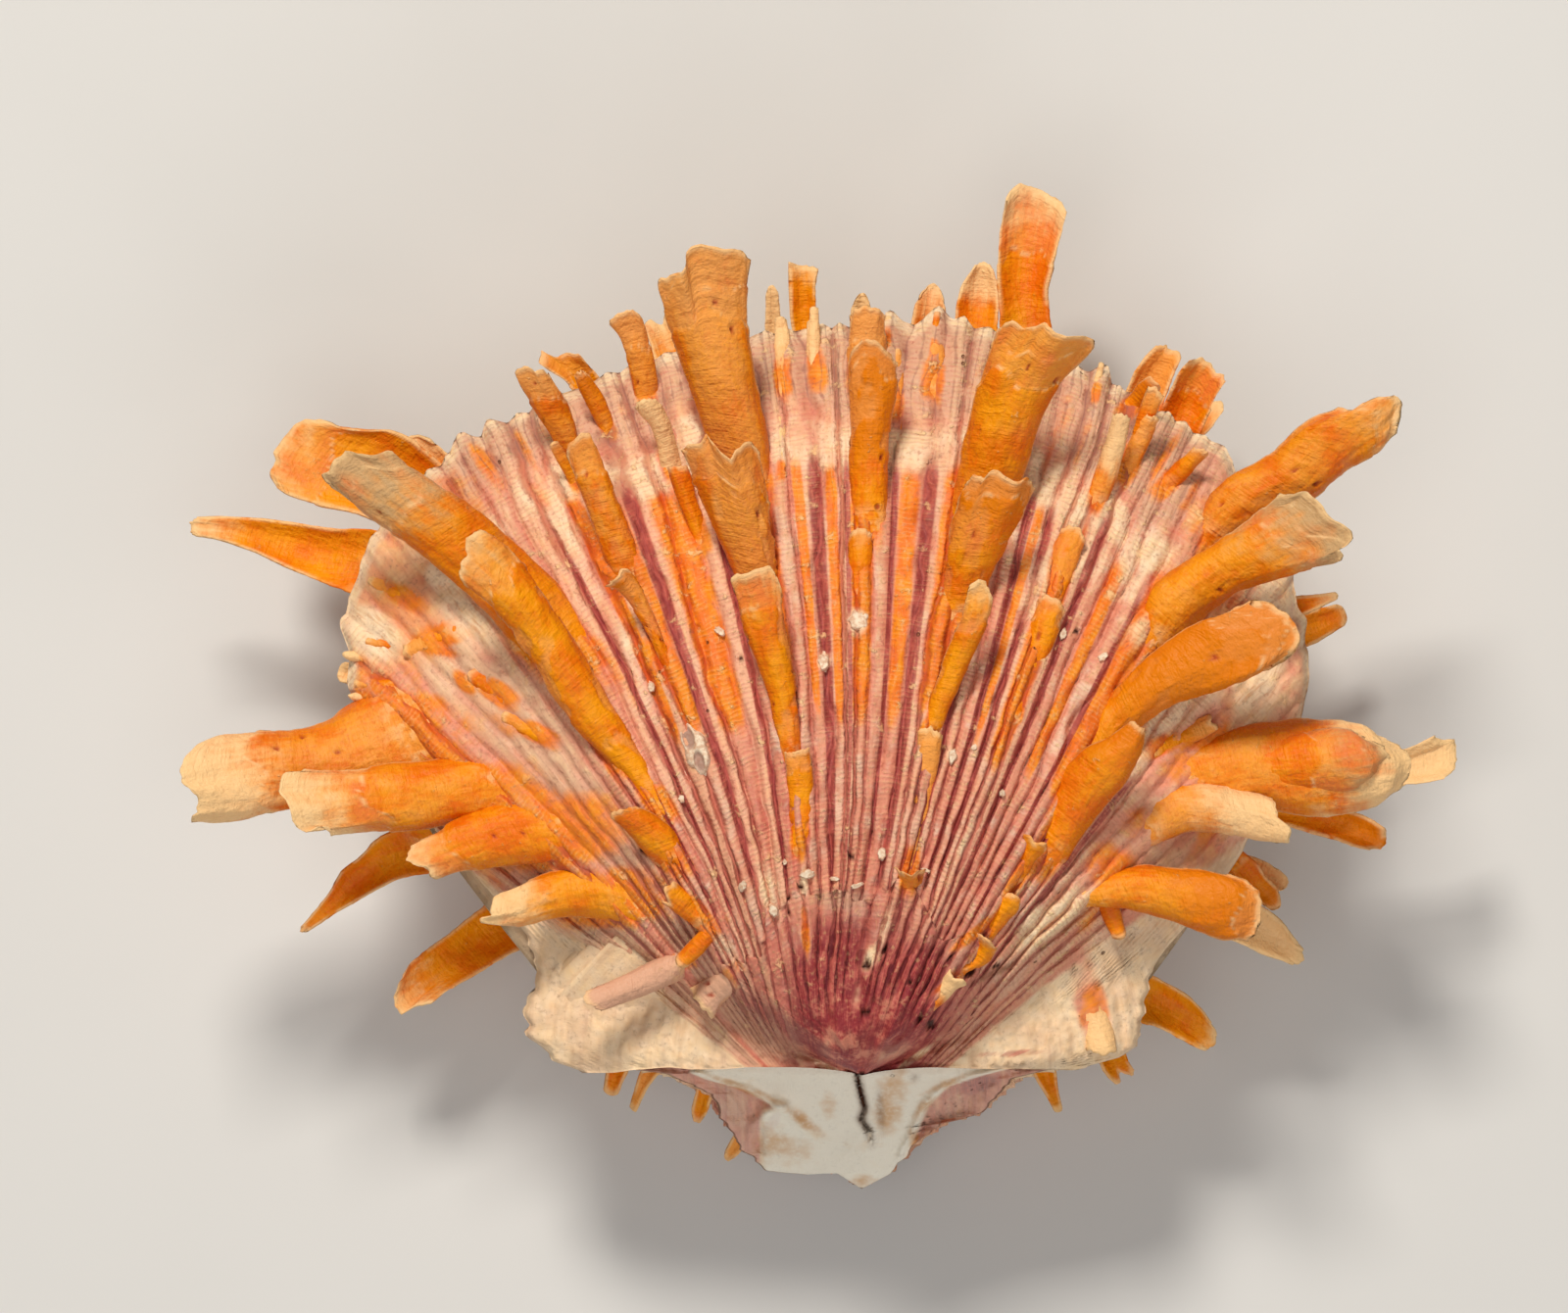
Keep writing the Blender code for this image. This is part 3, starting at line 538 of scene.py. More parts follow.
        traced(((268, 615), (276, 645), (282, 665), (288, 683)),
               ((278, 610), (290, 637), (298, 660), (306, 680)),
               ((292, 691), (300, 689)),
               9.5, SALMON, 0.7, bloom=0.2),
    ),
    "right_rib": (
        traced(((172, 227), (186, 263), (202, 300), (225, 323), (254, 335), (270, 349)),
               ((204, 200), (226, 237), (250, 267), (270, 289), (283, 315), (288, 340)),
               ((275, 350), (281, 344)),
               18.0, MUSTARD, 0.65, bloom=0.1),
        traced(((218, 323), (238, 361), (262, 389), (292, 417), (325, 440), (356, 459), (374, 472)),
               ((238, 277), (270, 333), (300, 355), (332, 371), (365, 381), (392, 388), (415, 395)),
               ((392, 479), (410, 474), (428, 462), (441, 447), (446, 430), (442, 415), (432, 404)),
               15.5, MUSTARD, 0.2, bloom=0.0, flaky=0.4, layers=(1.8, 4.0), form=ROUNDED),
        traced(((280, 445), (292, 483), (314, 505), (342, 520), (372, 540), (402, 565), (423, 584)),
               ((310, 417), (342, 451), (362, 465), (382, 481), (412, 490), (440, 500), (465, 506),
                (480, 509)),
               ((435, 582), (450, 587), (457, 577), (465, 570), (472, 560), (486, 549), (498, 540),
                (500, 533), (494, 527), (486, 523), (491, 517), (488, 511)),
               13.0, ASH, 0.66, bloom=0.4, flaky=0.2, layers=(2.0, 5.0)),
        traced(((342, 540), (350, 573), (372, 599), (408, 615), (426, 630), (442, 651), (465, 665),
                (480, 672)),
               ((360, 525), (412, 555), (445, 572), (465, 578), (482, 595), (502, 610), (522, 620),
                (538, 630), (549, 641)),
               ((494, 668), (506, 675), (524, 680), (544, 680), (553, 671), (553, 657)),
               9.5, CREAM, 0.9, bloom=0.5, flaky=0.6, form=ROUNDED, layers=(2.5,)),
    ),
    "far_right_rib": (
        Spine((24.5, 17.5), (26.5, 12.6), 2.4, 1.6, 7.0, POINTED, ORANGE, 0.9),
        Spine((23.2, 7.0), (24.6, 0.6), 3.6, 3.2, 1.6, RAGGED, CREAM, 0.1, bloom=0.8, lying=True),
        traced(((225, 180), (250, 193), (285, 204), (320, 198), (350, 200), (375, 200)),
               ((235, 160), (265, 159), (290, 154), (318, 144), (348, 132), (376, 122), (395, 119)),
               ((390, 192), (403, 180), (408, 165), (408, 140), (403, 129)),
               9.0, MUSTARD, 0.5, bloom=0.4, form=ROUNDED, layers=(1.6,)),
        traced(((285, 263), (320, 285), (350, 287), (380, 282), (405, 278), (417, 273)),
               ((300, 223), (335, 237), (360, 235), (385, 230), (410, 223), (425, 222)),
               ((421, 265), (422, 253), (435, 242), (437, 235), (434, 223)),
               8.5, CREAM, 0.35, bloom=0.7),
        traced(((330, 322), (385, 345), (440, 352), (505, 348), (530, 337)),
               ((345, 272), (400, 262), (455, 251), (500, 255), (532, 263), (550, 273)),
               ((545, 329), (557, 317), (560, 305), (557, 288)),
               6.3, CREAM, 0.62, bloom=0.5, form=ROUNDED, layers=(1.2,)),
        traced(((345, 318), (382, 326), (410, 332), (450, 341), (490, 345), (515, 336)),
               ((350, 285), (390, 282), (430, 277), (470, 272), (505, 276), (530, 290)),
               ((530, 327), (537, 313), (536, 300)),
               8.9, ASH, 0.74, bloom=0.3, form=ROUNDED, layers=(2.2, 6.5)),
    ),
}

LOWER_SPINES = {
    "left_side": (
        traced(((-435, 525), (-478, 543), (-510, 558), (-560, 570), (-590, 579), (-601, 587)),
               ((-385, 580), (-428, 611), (-462, 640), (-483, 649), (-510, 648), (-534, 649),
                (-545, 656)),
               ((-608, 599), (-607, 607), (-602, 616), (-605, 625), (-599, 635), (-592, 645),
                (-582, 654), (-570, 660), (-555, 660)),
               0.5, CREAM, 0.86, arc=34),
        traced(((-510, 475), (-540, 485), (-568, 496), (-595, 508), (-622, 521), (-652, 532),
                (-685, 539)),
               ((-480, 540), (-510, 547), (-540, 546), (-570, 551), (-600, 555), (-630, 559),
                (-658, 560), (-682, 558)),
               ((-691, 544), (-690, 553)),
               -5.0, CREAM, 0.78, arc=48),
        traced(((-430, 193), (-455, 192), (-480, 185), (-502, 173), (-525, 160), (-545, 148),
                (-570, 132)),
               ((-455, 243), (-482, 237), (-502, 226), (-516, 209), (-535, 196), (-543, 180),
                (-560, 157), (-577, 137)),
               ((-576, 131), (-578, 135)),
               -7.0, MUSTARD, 0.8),
        traced(((-305, 130), (-345, 117), (-380, 97), (-410, 79), (-430, 65), (-445, 58)),
               ((-350, 180), (-380, 165), (-402, 149), (-428, 129), (-450, 113), (-468, 102),
                (-474, 89)),
               ((-460, 54), (-473, 46), (-479, 53), (-481, 65), (-479, 76)),
               -6.0, CREAM, 0.84, bloom=0.9, arc=50),
        traced(((-280, 673), (-310, 700), (-332, 714)),
               ((-262, 690), (-275, 713), (-288, 725)),
               ((-331, 729), (-324, 725), (-314, 722), (-300, 727)),
               0.5, ORANGE, 0.9),
    ),
    "hinge_side": (
        Spine((-24.5, 2), (-25.8, -3.6), 3.0, 1.6, -4.0, POINTED, MUSTARD, 0.9),
        Spine((-19, 1.5), (-23.5, -5.2), 2.6, 0.8, -5.0, POINTED, SALMON, 0.3, 0, 0.1),
        Spine((-15.5, -0.5), (-17, -6.4), 2.4, 1.4, -6.0, ROUNDED, ORANGE, 0.9),
        Spine((-11, -6), (-14, -10.4), 2.4, 1.2, -11.5, ROUNDED, SALMON, 0.1),
        Spine((17.5, 2), (20.3, -5.3), 3.4, 0.8, -4.5, POINTED, CREAM, 0.9),
        Spine((23.5, 4), (27, -2), 3.6, 2.6, -3.5, RAGGED, MUSTARD, 0.9),
    ),
    "right_side": (
        Spine((38.5, 20.5), (42.8, 15.6), 3.0, 2.4, -4.0, ROUNDED, MUSTARD, 0.5),
        Spine((41, 45.5), (48.9, 47.8), 3.2, 0.8, -4.0, POINTED, CREAM, 0.7),
        traced(((270, 100), (305, 85), (334, 68), (349, 55), (358, 41)),
               ((270, 43), (300, 35), (322, 24), (346, 11)),
               ((366, 29), (364, 17), (357, 10)),
               -5.0, CREAM, 0.85),
        traced(((375, 170), (405, 163), (420, 153), (436, 139), (447, 124)),
               ((345, 135), (392, 118), (418, 106), (438, 99)),
               ((454, 113), (454, 102), (448, 98)),
               -6.5, CREAM, -0.2),
        traced(((370, 262), (440, 263), (480, 261), (510, 255), (526, 247), (538, 238)),
               ((360, 240), (430, 243), (460, 234), (486, 226), (506, 218), (522, 215)),
               ((541, 227), (534, 217)),
               -6.0, MUSTARD, 0.7),
        traced(((395, 300), (450, 308), (520, 317), (555, 321), (572, 328), (587, 335)),
               ((395, 262), (450, 270), (520, 280), (555, 281), (580, 283), (598, 287)),
               ((597, 329), (610, 330), (612, 315), (610, 299)),
               -3.0, CREAM, 0.0),
        traced(((270, 660), (270, 687), (278, 707), (290, 721), (302, 733)),
               ((302, 657), (312, 683), (320, 703), (327, 719)),
               ((310, 735), (317, 731), (326, 726)),
               -1.5, SALMON, 0.2),
        traced(((300, 657), (315, 685), (321, 704), (334, 721)),
               ((342, 633), (356, 660), (366, 681), (374, 695)),
               ((348, 723), (357, 716), (364, 704), (372, 702)),
               1.0, CREAM, 0.9),
    ),
    "far_margin": (
        Spine((-0.2, 71), (0, 78.8), 2.4, 2.0, -1.0, ROUNDED, CREAM, 0.0),
        Spine((-9, 71), (-9.3, 79.6), 2.0, 1.2, -1.5, ROUNDED, CREAM, -0.2),
        Spine((-5.8, 71), (-6, 82), 3.0, 2.8, -1.0, CUT, CREAM, 0.8),
        traced(((142, 735), (139, 785), (137, 823), (140, 857), (146, 883)),
               ((196, 735), (192, 773), (190, 793), (198, 820), (208, 849), (212, 869)),
               ((151, 894), (162, 901), (176, 895), (191, 891), (205, 882)),
               0.5, CREAM, 0.72, bloom=0.3, arc=52),
        traced(((95, 740), (96, 773), (103, 799), (114, 814)),
               ((138, 740), (141, 773), (140, 795), (134, 813)),
               ((121, 820), (130, 819)),
               -3.0, CREAM, 0.4),
    ),
    "low_down": (
        Spine((-35, 51), (-47, 64), 5.0, 4.0, -14.0, ROUNDED, CREAM, 0.7),
        Spine((-39, 36), (-54, 40), 5.0, 2.0, -13.0, POINTED, CREAM, 0.7),
        Spine((-31, 23), (-45, 20.5), 4.5, 3.0, -14.0, RAGGED, CREAM, 0.6),
        Spine((-16, 64), (-21, 77), 4.5, 4.0, -13.0, RAGGED, CREAM, 0.7),
        Spine((5, 65.5), (7.5, 80), 4.5, 3.0, -12.0, ROUNDED, CREAM, 0.7),
        Spine((27, 58), (37, 69), 4.5, 4.0, -13.0, RAGGED, CREAM, 0.7),
        Spine((37, 41), (50, 46), 5.0, 2.4, -14.0, POINTED, MUSTARD, 0.7),
        Spine((31, 22), (44, 18), 4.5, 3.0, -13.0, ROUNDED, CREAM, 0.6),
    ),
}


class Socket:
    """An output of a shader node that can be added, scaled and compared like a number."""

    def __init__(self, board: "Board", output: bpy.types.NodeSocket) -> None:
        """Wraps one output socket."""
        self.board, self.output = board, output

    def __add__(self, other: "Operand") -> "Socket":
        """This plus other."""
        return self.board.math("ADD", self, other)

    def __radd__(self, other: float) -> "Socket":
        """Other plus this."""
        return self.board.math("ADD", other, self)

    def __sub__(self, other: "Operand") -> "Socket":
        """This minus other."""
        return self.board.math("SUBTRACT", self, other)

    def __rsub__(self, other: float) -> "Socket":
        """Other minus this."""
        return self.board.math("SUBTRACT", other, self)

    def __mul__(self, other: "Operand") -> "Socket":
        """This times other."""
        return self.board.math("MULTIPLY", self, other)

    def __rmul__(self, other: float) -> "Socket":
        """Other times this."""
        return self.board.math("MULTIPLY", other, self)

    def __truediv__(self, other: "Operand") -> "Socket":
        """This over other."""
        return self.board.math("DIVIDE", self, other)

    def __pow__(self, other: float) -> "Socket":
        """This to a power."""
        return self.board.math("POWER", self, other)

    def __gt__(self, other: "Operand") -> "Socket":
        """1 where this is more than other, and 0 elsewhere."""
        return self.board.math("GREATER_THAN", self, other)


Operand = Socket | float | int
Tint = Socket | tuple[float, float, float, float]


class Board:
    """The node tree of one material."""

    specular: float = 0.2

    def __init__(self, name: str) -> None:
        """Makes an empty material with a Principled shader.

        Args:
            name: Name of the material.
        """
        self.material = bpy.data.materials.new(name)
        self.material.use_nodes = True
        self.tree = self.material.node_tree
        self.shader = self.tree.nodes["Principled BSDF"]

    def connect(self, target: bpy.types.NodeSocket, source: Operand | Tint) -> None:
        """Links a socket, or sets it to a plain value.

        Args:
            target: The socket to feed.
            source: What feeds it: another socket, a number or a colour.
        """
        if isinstance(source, Socket):
            self.tree.links.new(source.output, target)
        else:
            target.default_value = source

    def node(self, kind: str, settings: dict, inputs: dict, output: int | str = 0) -> Socket:
        """Adds any node.

        Args:
            kind: The node's type.
            settings: Its properties by name; stops are those of a colour ramp.
            inputs: Values or links by the name or the number of the socket.
            output: The name or number of the output that is wanted.

        Returns:
            That output.
        """
        made = self.tree.nodes.new(kind)
        for name, value in settings.items():
            if name == "stops":
                ramp = made.color_ramp
                ramp.interpolation = "CONSTANT"
                while len(ramp.elements) < len(value):
                    ramp.elements.new(0.5)
                for element, (place, colour) in zip(ramp.elements, value):
                    element.position, element.color = place, colour
            else:
                setattr(made, name, value)
        for name, value in inputs.items():
            self.connect(made.inputs[name], value)
        return Socket(self, made.outputs[output])

    def math(self, operation: str, first: Operand, second: Operand = 0.0) -> Socket:
        """Any operation of a Math node."""
        return self.node("ShaderNodeMath", {"operation": operation}, {0: first, 1: second})

    def read(self, name: str) -> Socket:
        """A number that the mesh carries on its points."""
        settings = {"attribute_name": name}
        return self.node("ShaderNodeAttribute", settings, {}, "Fac")

    def chance(self, value: Socket) -> Socket:
        """A random number from 0 to 1 for each value."""
        return self.node("ShaderNodeTexWhiteNoise", {"noise_dimensions": "1D"}, {"W": value})

    def ramp(self, value: Socket, low: float, high: float) -> Socket:
        """A smooth ramp from 0 at low to 1 at high.

        Args:
            value: What the ramp reads.
            low: The value up to which it stays 0.
            high: The value from which it stays 1.

        Returns:
            The height of the ramp.
        """
        settings = {"interpolation_type": "SMOOTHSTEP"}
        inputs = {"Value": value, "From Min": low, "From Max": high}
        return self.node("ShaderNodeMapRange", settings, inputs)

    def mix(self, share: Operand, first: Tint, second: Tint, blend: str = "MIX") -> Socket:
        """Two colours mixed."""
        settings = {"data_type": "RGBA", "blend_type": blend, "clamp_factor": True}
        return self.node("ShaderNodeMix", settings, {0: share, 6: first, 7: second}, 2)

    def place(self, x: Operand, y: Operand, z: Operand = 0.0) -> Socket:
        """A position made of three numbers."""
        return self.node("ShaderNodeCombineXYZ", {}, {0: x, 1: y, 2: z})

    def position(self) -> Socket:
        """The place on the shell, in millimetres.

        Returns:
            A socket with its three coordinates.
        """
        here = self.node("ShaderNodeTexCoord", {}, {}, "Object")
        settings = {"operation": "SCALE"}
        return self.node("ShaderNodeVectorMath", settings, {0: here, "Scale": 1 / MM})

    def noise(self, where: Socket, scale: float, detail: float = 2.0) -> Socket:
        """Cloudy noise from 0 to 1, with lumps of 1 / scale."""
        inputs = {"Vector": where, "Scale": scale, "Detail": detail}
        return self.node("ShaderNodeTexNoise", {}, inputs)

    def cells(self, where: Socket, scale: float, output: str) -> Socket:
        """Distance to the middle, or the random colour, of the nearest cell."""
        inputs = {"Vector": where, "Scale": scale}
        return self.node("ShaderNodeTexVoronoi", {}, inputs, output)

    def dots(self, where: Socket, scale: float, size: float, rarity: float) -> Socket:
        """Small scattered dots.

        Args:
            where: The position.
            scale: Cells to a millimetre.
            size: Radius of a dot as a share of a cell.
            rarity: Share of the cells that stay empty.

        Returns:
            1 in a dot and 0 elsewhere.
        """
        near = 1 - self.ramp(self.cells(where, scale, "Distance"), size * 0.6, size)
        pick = self.cells(where, scale, "Color")
        red = self.node("ShaderNodeSeparateColor", {}, {0: pick})
        return near * (red > rarity)

    def bump(self, height: Socket, distance: float, strength: float = 1.0) -> Socket:
        """A normal from a height of which 1 stands for distance millimetres."""
        inputs = {"Height": height, "Distance": distance * MM, "Strength": strength}
        return self.node("ShaderNodeBump", {}, inputs, "Normal")

    def finish(self, colour: Tint, roughness: Operand, normal: Socket) -> bpy.types.Material:
        """Feeds the shader and hands over the material.

        Args:
            colour: Base colour.
            roughness: Roughness, the same or varying.
            normal: Normal that carries the fine relief.

        Returns:
            The finished material.
        """
        self.connect(self.shader.inputs["Base Color"], colour)
        self.connect(self.shader.inputs["Roughness"], roughness)
        self.connect(self.shader.inputs["Normal"], normal)
        self.shader.inputs["Specular IOR Level"].default_value = self.specular
        return self.material


class Palette:
    """The colours of the shell."""

    orange = srgb(230, 108, 0)
    amber = srgb(240, 150, 4)
    rust = srgb(200, 82, 0)
    salmon = srgb(238, 156, 70)
    cream = srgb(242, 200, 142)
    white = srgb(236, 216, 188)
    ash = srgb(184, 150, 106)
    mustard = srgb(220, 118, 0)
    pink = srgb(218, 142, 114)
    peach = srgb(228, 166, 132)
    blush = srgb(214, 166, 138)
    rose = srgb(190, 92, 80)
    wine = srgb(132, 36, 44)
    mauve = srgb(156, 108, 94)
    lilac = srgb(206, 164, 132)
    brown = srgb(104, 56, 28)
    umber = srgb(64, 24, 16)
    plum = srgb(124, 74, 66)
    sand = srgb(204, 164, 132)
    bone = srgb(244, 238, 222)
    # Multiplies a crest colour into the painted shade of a groove.
    groove_shade = srgb(214, 166, 158)
    garnet = srgb(160, 50, 24)
    claret = srgb(84, 20, 30)
    crimson = srgb(150, 54, 62)
    ochre = srgb(206, 146, 74)


@dataclass(frozen=True)
class ValveFinish:
    """The ribbed outside of a valve: stripes along the ribs and beads across them."""

    name: str
    bead_pitch: float = 0.52
    groove_depth: float = 0.35

    def build(self) -> bpy.types.Material:
        """Builds the material.

        Returns:
            A material that reads the marks that the valves make.
        """
        board = Board(self.name)
        mix, ramp = board.mix, board.ramp
        (rib, reach, ember, wine, pale, mauve, blush, young, bone, pit, stain, ribbed,
         umbo) = map(board.read, VALVE_MARKS)
        here = board.position()
        cloud = board.noise(here, 0.22, 3.0)
        patch = board.noise(here, 0.7, 4.0)
        speck = board.noise(here, 2.4, 4.0)
        streak = board.noise(board.place(rib * 1.7, reach * 0.28), 1.0, 3.0)
        streak = 0.5 + (streak - 0.5) * (ribbed * 0.85 + 0.15)
        worn = board.noise(board.place(rib * 1.4, reach * 0.7), 1.0, 4.0)
        lines = board.noise(board.place(rib * 0.12, reach * 1.1), 1.0, 4.0)
        fibre = board.noise(board.place(rib * 10.0, reach * 0.6), 1.0, 2.0)
        crest = board.math("ROUND", rib)
        luck, gap = board.chance(crest), board.chance(board.math("FLOOR", rib))
        # The same noises around 0.
        clouds, patches, specks, streaks, wear, fibres, lucks = (
            noise - 0.5 for noise in (cloud, patch, speck, streak, worn, fibre, luck)
        )

        side = board.math("ABSOLUTE", rib - crest) * 2.0
        uneven = side + wear * 1.3 + specks * 0.25 + lucks * 0.5
        clean = ramp(gap + young + clouds * 1.2, -0.3, 0.5)
        groove = ramp(uneven, 0.5, 1.0) * ribbed * clean
        # Ridge is 1 on the crest of a riblet, where the colour turns lighter: the shell's own pale
        # crest and painted highlight.
        ridge = 1 - ramp(uneven, 0.05, 0.5)
        light = ramp(pale + streaks * 0.7 + clouds * 0.7 + patches * 0.4, 0.28, 0.82)
        torn = clouds * 0.5 + streaks * 0.5 + patches * 0.6 + lucks * 0.2
        warm = ramp(ember + torn, 0.28, 0.8)
        dark = ramp(wine + streaks * 0.6 + lucks * 0.3, 0.3, 0.8)
        veil = ramp(mauve + clouds * 0.8, 0.15, 0.9)
        flush = ramp(blush + wear * 2.2 + clouds, 0.55, 1.3)

        outer = ramp(reach + clouds * 20.0, 36.0, 62.0)
        # Ridge adds painted highlight to the pale crests.
        bright = ramp(luck * 0.4 + worn * 0.8 + ridge * 0.2 + outer * 0.12, 0.55, 1.05)
        top = mix(bright, Palette.pink, mix(streak, Palette.peach, Palette.cream))
        top = mix(flush * 0.7, top, mix(luck, Palette.rose, Palette.pink))
        first = mix(luck * 0.6 + worn * 0.4, Palette.crimson, Palette.rose)
        top = mix(young * 0.85, top, first)
        frost = ramp(cloud * 0.6 + worn * 0.5 + patch * 0.3 + lucks * 0.2, 0.6, 0.84)
        frost = frost * ribbed * (1 - young)
        top = mix(frost * 0.65, top, mix(luck, Palette.white, Palette.peach))
        top = mix(veil * 0.65, top, mix(young, Palette.lilac, Palette.mauve))
        glow = mix(ramp(streak + patch * 0.6, 0.6, 1.1), Palette.orange, Palette.amber)
        paler = ramp(streak + cloud * 0.6, 0.95, 1.25)
        glow = mix(paler * 0.45, glow, Palette.salmon)
        top = mix(warm * 0.92, top, glow)
        top = mix(light, top, mix(patch, Palette.white, Palette.cream))
        thread = ramp(fibre + luck * 0.3 + specks * 0.6, 0.4, 0.9)
        top = mix(dark * 0.85, top, mix(thread, Palette.wine, Palette.rose))

        # The grooves between riblets get the shell's wine red and painted shade: the crest colour
        # multiplied darker, as if shade lay in them.
        red = mix(ramp(cloud + fibre * 0.7, 0.65, 1.05), Palette.wine, Palette.rose)
        shade = mix(1.0, top, Palette.groove_shade, "MULTIPLY")
        ripe = ramp(blush + wine * 0.8 + clouds * 0.8 + lucks * 0.5, 0.2, 0.9)
        low = mix(ripe * (1 - frost * 0.5), shade, red)
        low = mix(young * 0.9, low, Palette.claret)
        low = mix(veil * 0.5, low, Palette.mauve)
        # Painted shade and the shell's own wine red darken the grooves.
        skin = mix(groove * (0.84 + young * 0.14), top, low)
        thirds = board.math("ABSOLUTE", rib * 3.0 - board.math("ROUND", rib * 3.0)) * 2.0
        thin = ramp(thirds + wear * 1.2, 0.7, 1.0) * veil * ribbed
        skin = mix(thin * 0.45, skin, Palette.plum)
        ear_side = light * (1 - ramp(ribbed, 0.5, 0.95)) * ramp(ribbed, 0.0, 0.3)
        seam = ear_side * ramp(streak + fibre * 0.5, 0.7, 0.95)
        skin = mix(seam * 0.6, skin, mix(cloud, Palette.mauve, Palette.salmon))

        lump = board.noise(here, 0.42, 3.0)
        hollows = 1 - ramp(lump + specks * 0.3, 0.34, 0.54)
        skin = mix(umbo * hollows * 0.75, skin, Palette.wine)
        knobs = ramp(lump + specks * 0.5, 0.5, 0.72)
        skin = mix(umbo * knobs * 0.7, skin, Palette.pink)
        ear = (1 - ramp(ribbed, 0.0, 0.4)) * pale
        skin = mix(ear * ramp(cloud, 0.3, 0.7) * (1 - bone) * 0.5, skin, Palette.sand)
        veins = ramp(lines + patch * 0.4, 0.7, 0.95) * (1 - bone * 0.7)
        skin = mix(ear * veins * 0.25, skin, Palette.mauve)
        china = bone * pale * ramp(patch * 0.5 + cloud, 0.3, 0.65)
        skin = mix(china * 0.85, skin, Palette.bone)
        tea = bone * ramp(ember + clouds * 0.5 + patches * 0.8, 0.15, 1.0)
        skin = mix(tea * ramp(speck + patch, 0.4, 1.1) * 0.8, skin, Palette.ochre)

        bead = board.math("SINE", reach * (math.tau / self.bead_pitch) + worn * 11.0)
        kept = ramp(patch + speck * 0.4, 0.5, 0.8)
        beads = bead * ribbed * (1 - groove) * kept * (1 - young)
        skin = mix(ramp(beads, 0.1, 1.0) * 0.13, skin, Palette.cream)
        between = ramp(0.0 - beads, 0.1, 1.0)
        skin = mix(between * 0.26, skin, mix(warm, Palette.rose, Palette.rust))
        grit = ramp(speck + fibres * 0.6, 0.5, 0.75)
        # Grit is cream on the crests, partly as painted highlight, and rose beside them.
        skin = mix(grit * ribbed * 0.3, skin, mix(ridge, Palette.rose, Palette.cream))
        chips = ramp(speck * 0.25 + patch * 0.75 + worn * 0.4, 0.8, 0.9)
        chips = chips * ribbed * (1 - young * 0.6)
        skin = mix(chips * 0.6, skin, Palette.cream)
        dirt = ramp(speck * 0.6 - patch * 0.4, 0.14, 0.26) * (1 - bone * 0.7)
        skin = mix(dirt * 0.25, skin, Palette.brown)
        pores = board.dots(here, 0.42, 0.1, 0.86)
        skin = mix(pores * 0.7 * (1 - bone), skin, Palette.brown)
        skin = mix(stain * ramp(cloud + speck * 0.5, 0.4, 0.9), skin, Palette.brown)
        skin = mix(pit, skin, Palette.umber)

        height = beads * 0.03 + fibre * 0.04 + speck * 0.08 + patch * 0.1 + lines * 0.06
        height = height - groove * self.groove_depth * 0.4 - pores * 0.3 + chips * 0.1
        gloss = 0.4 + speck * 0.2 + groove * 0.2
        return board.finish(skin, gloss, board.bump(height, 1.0))


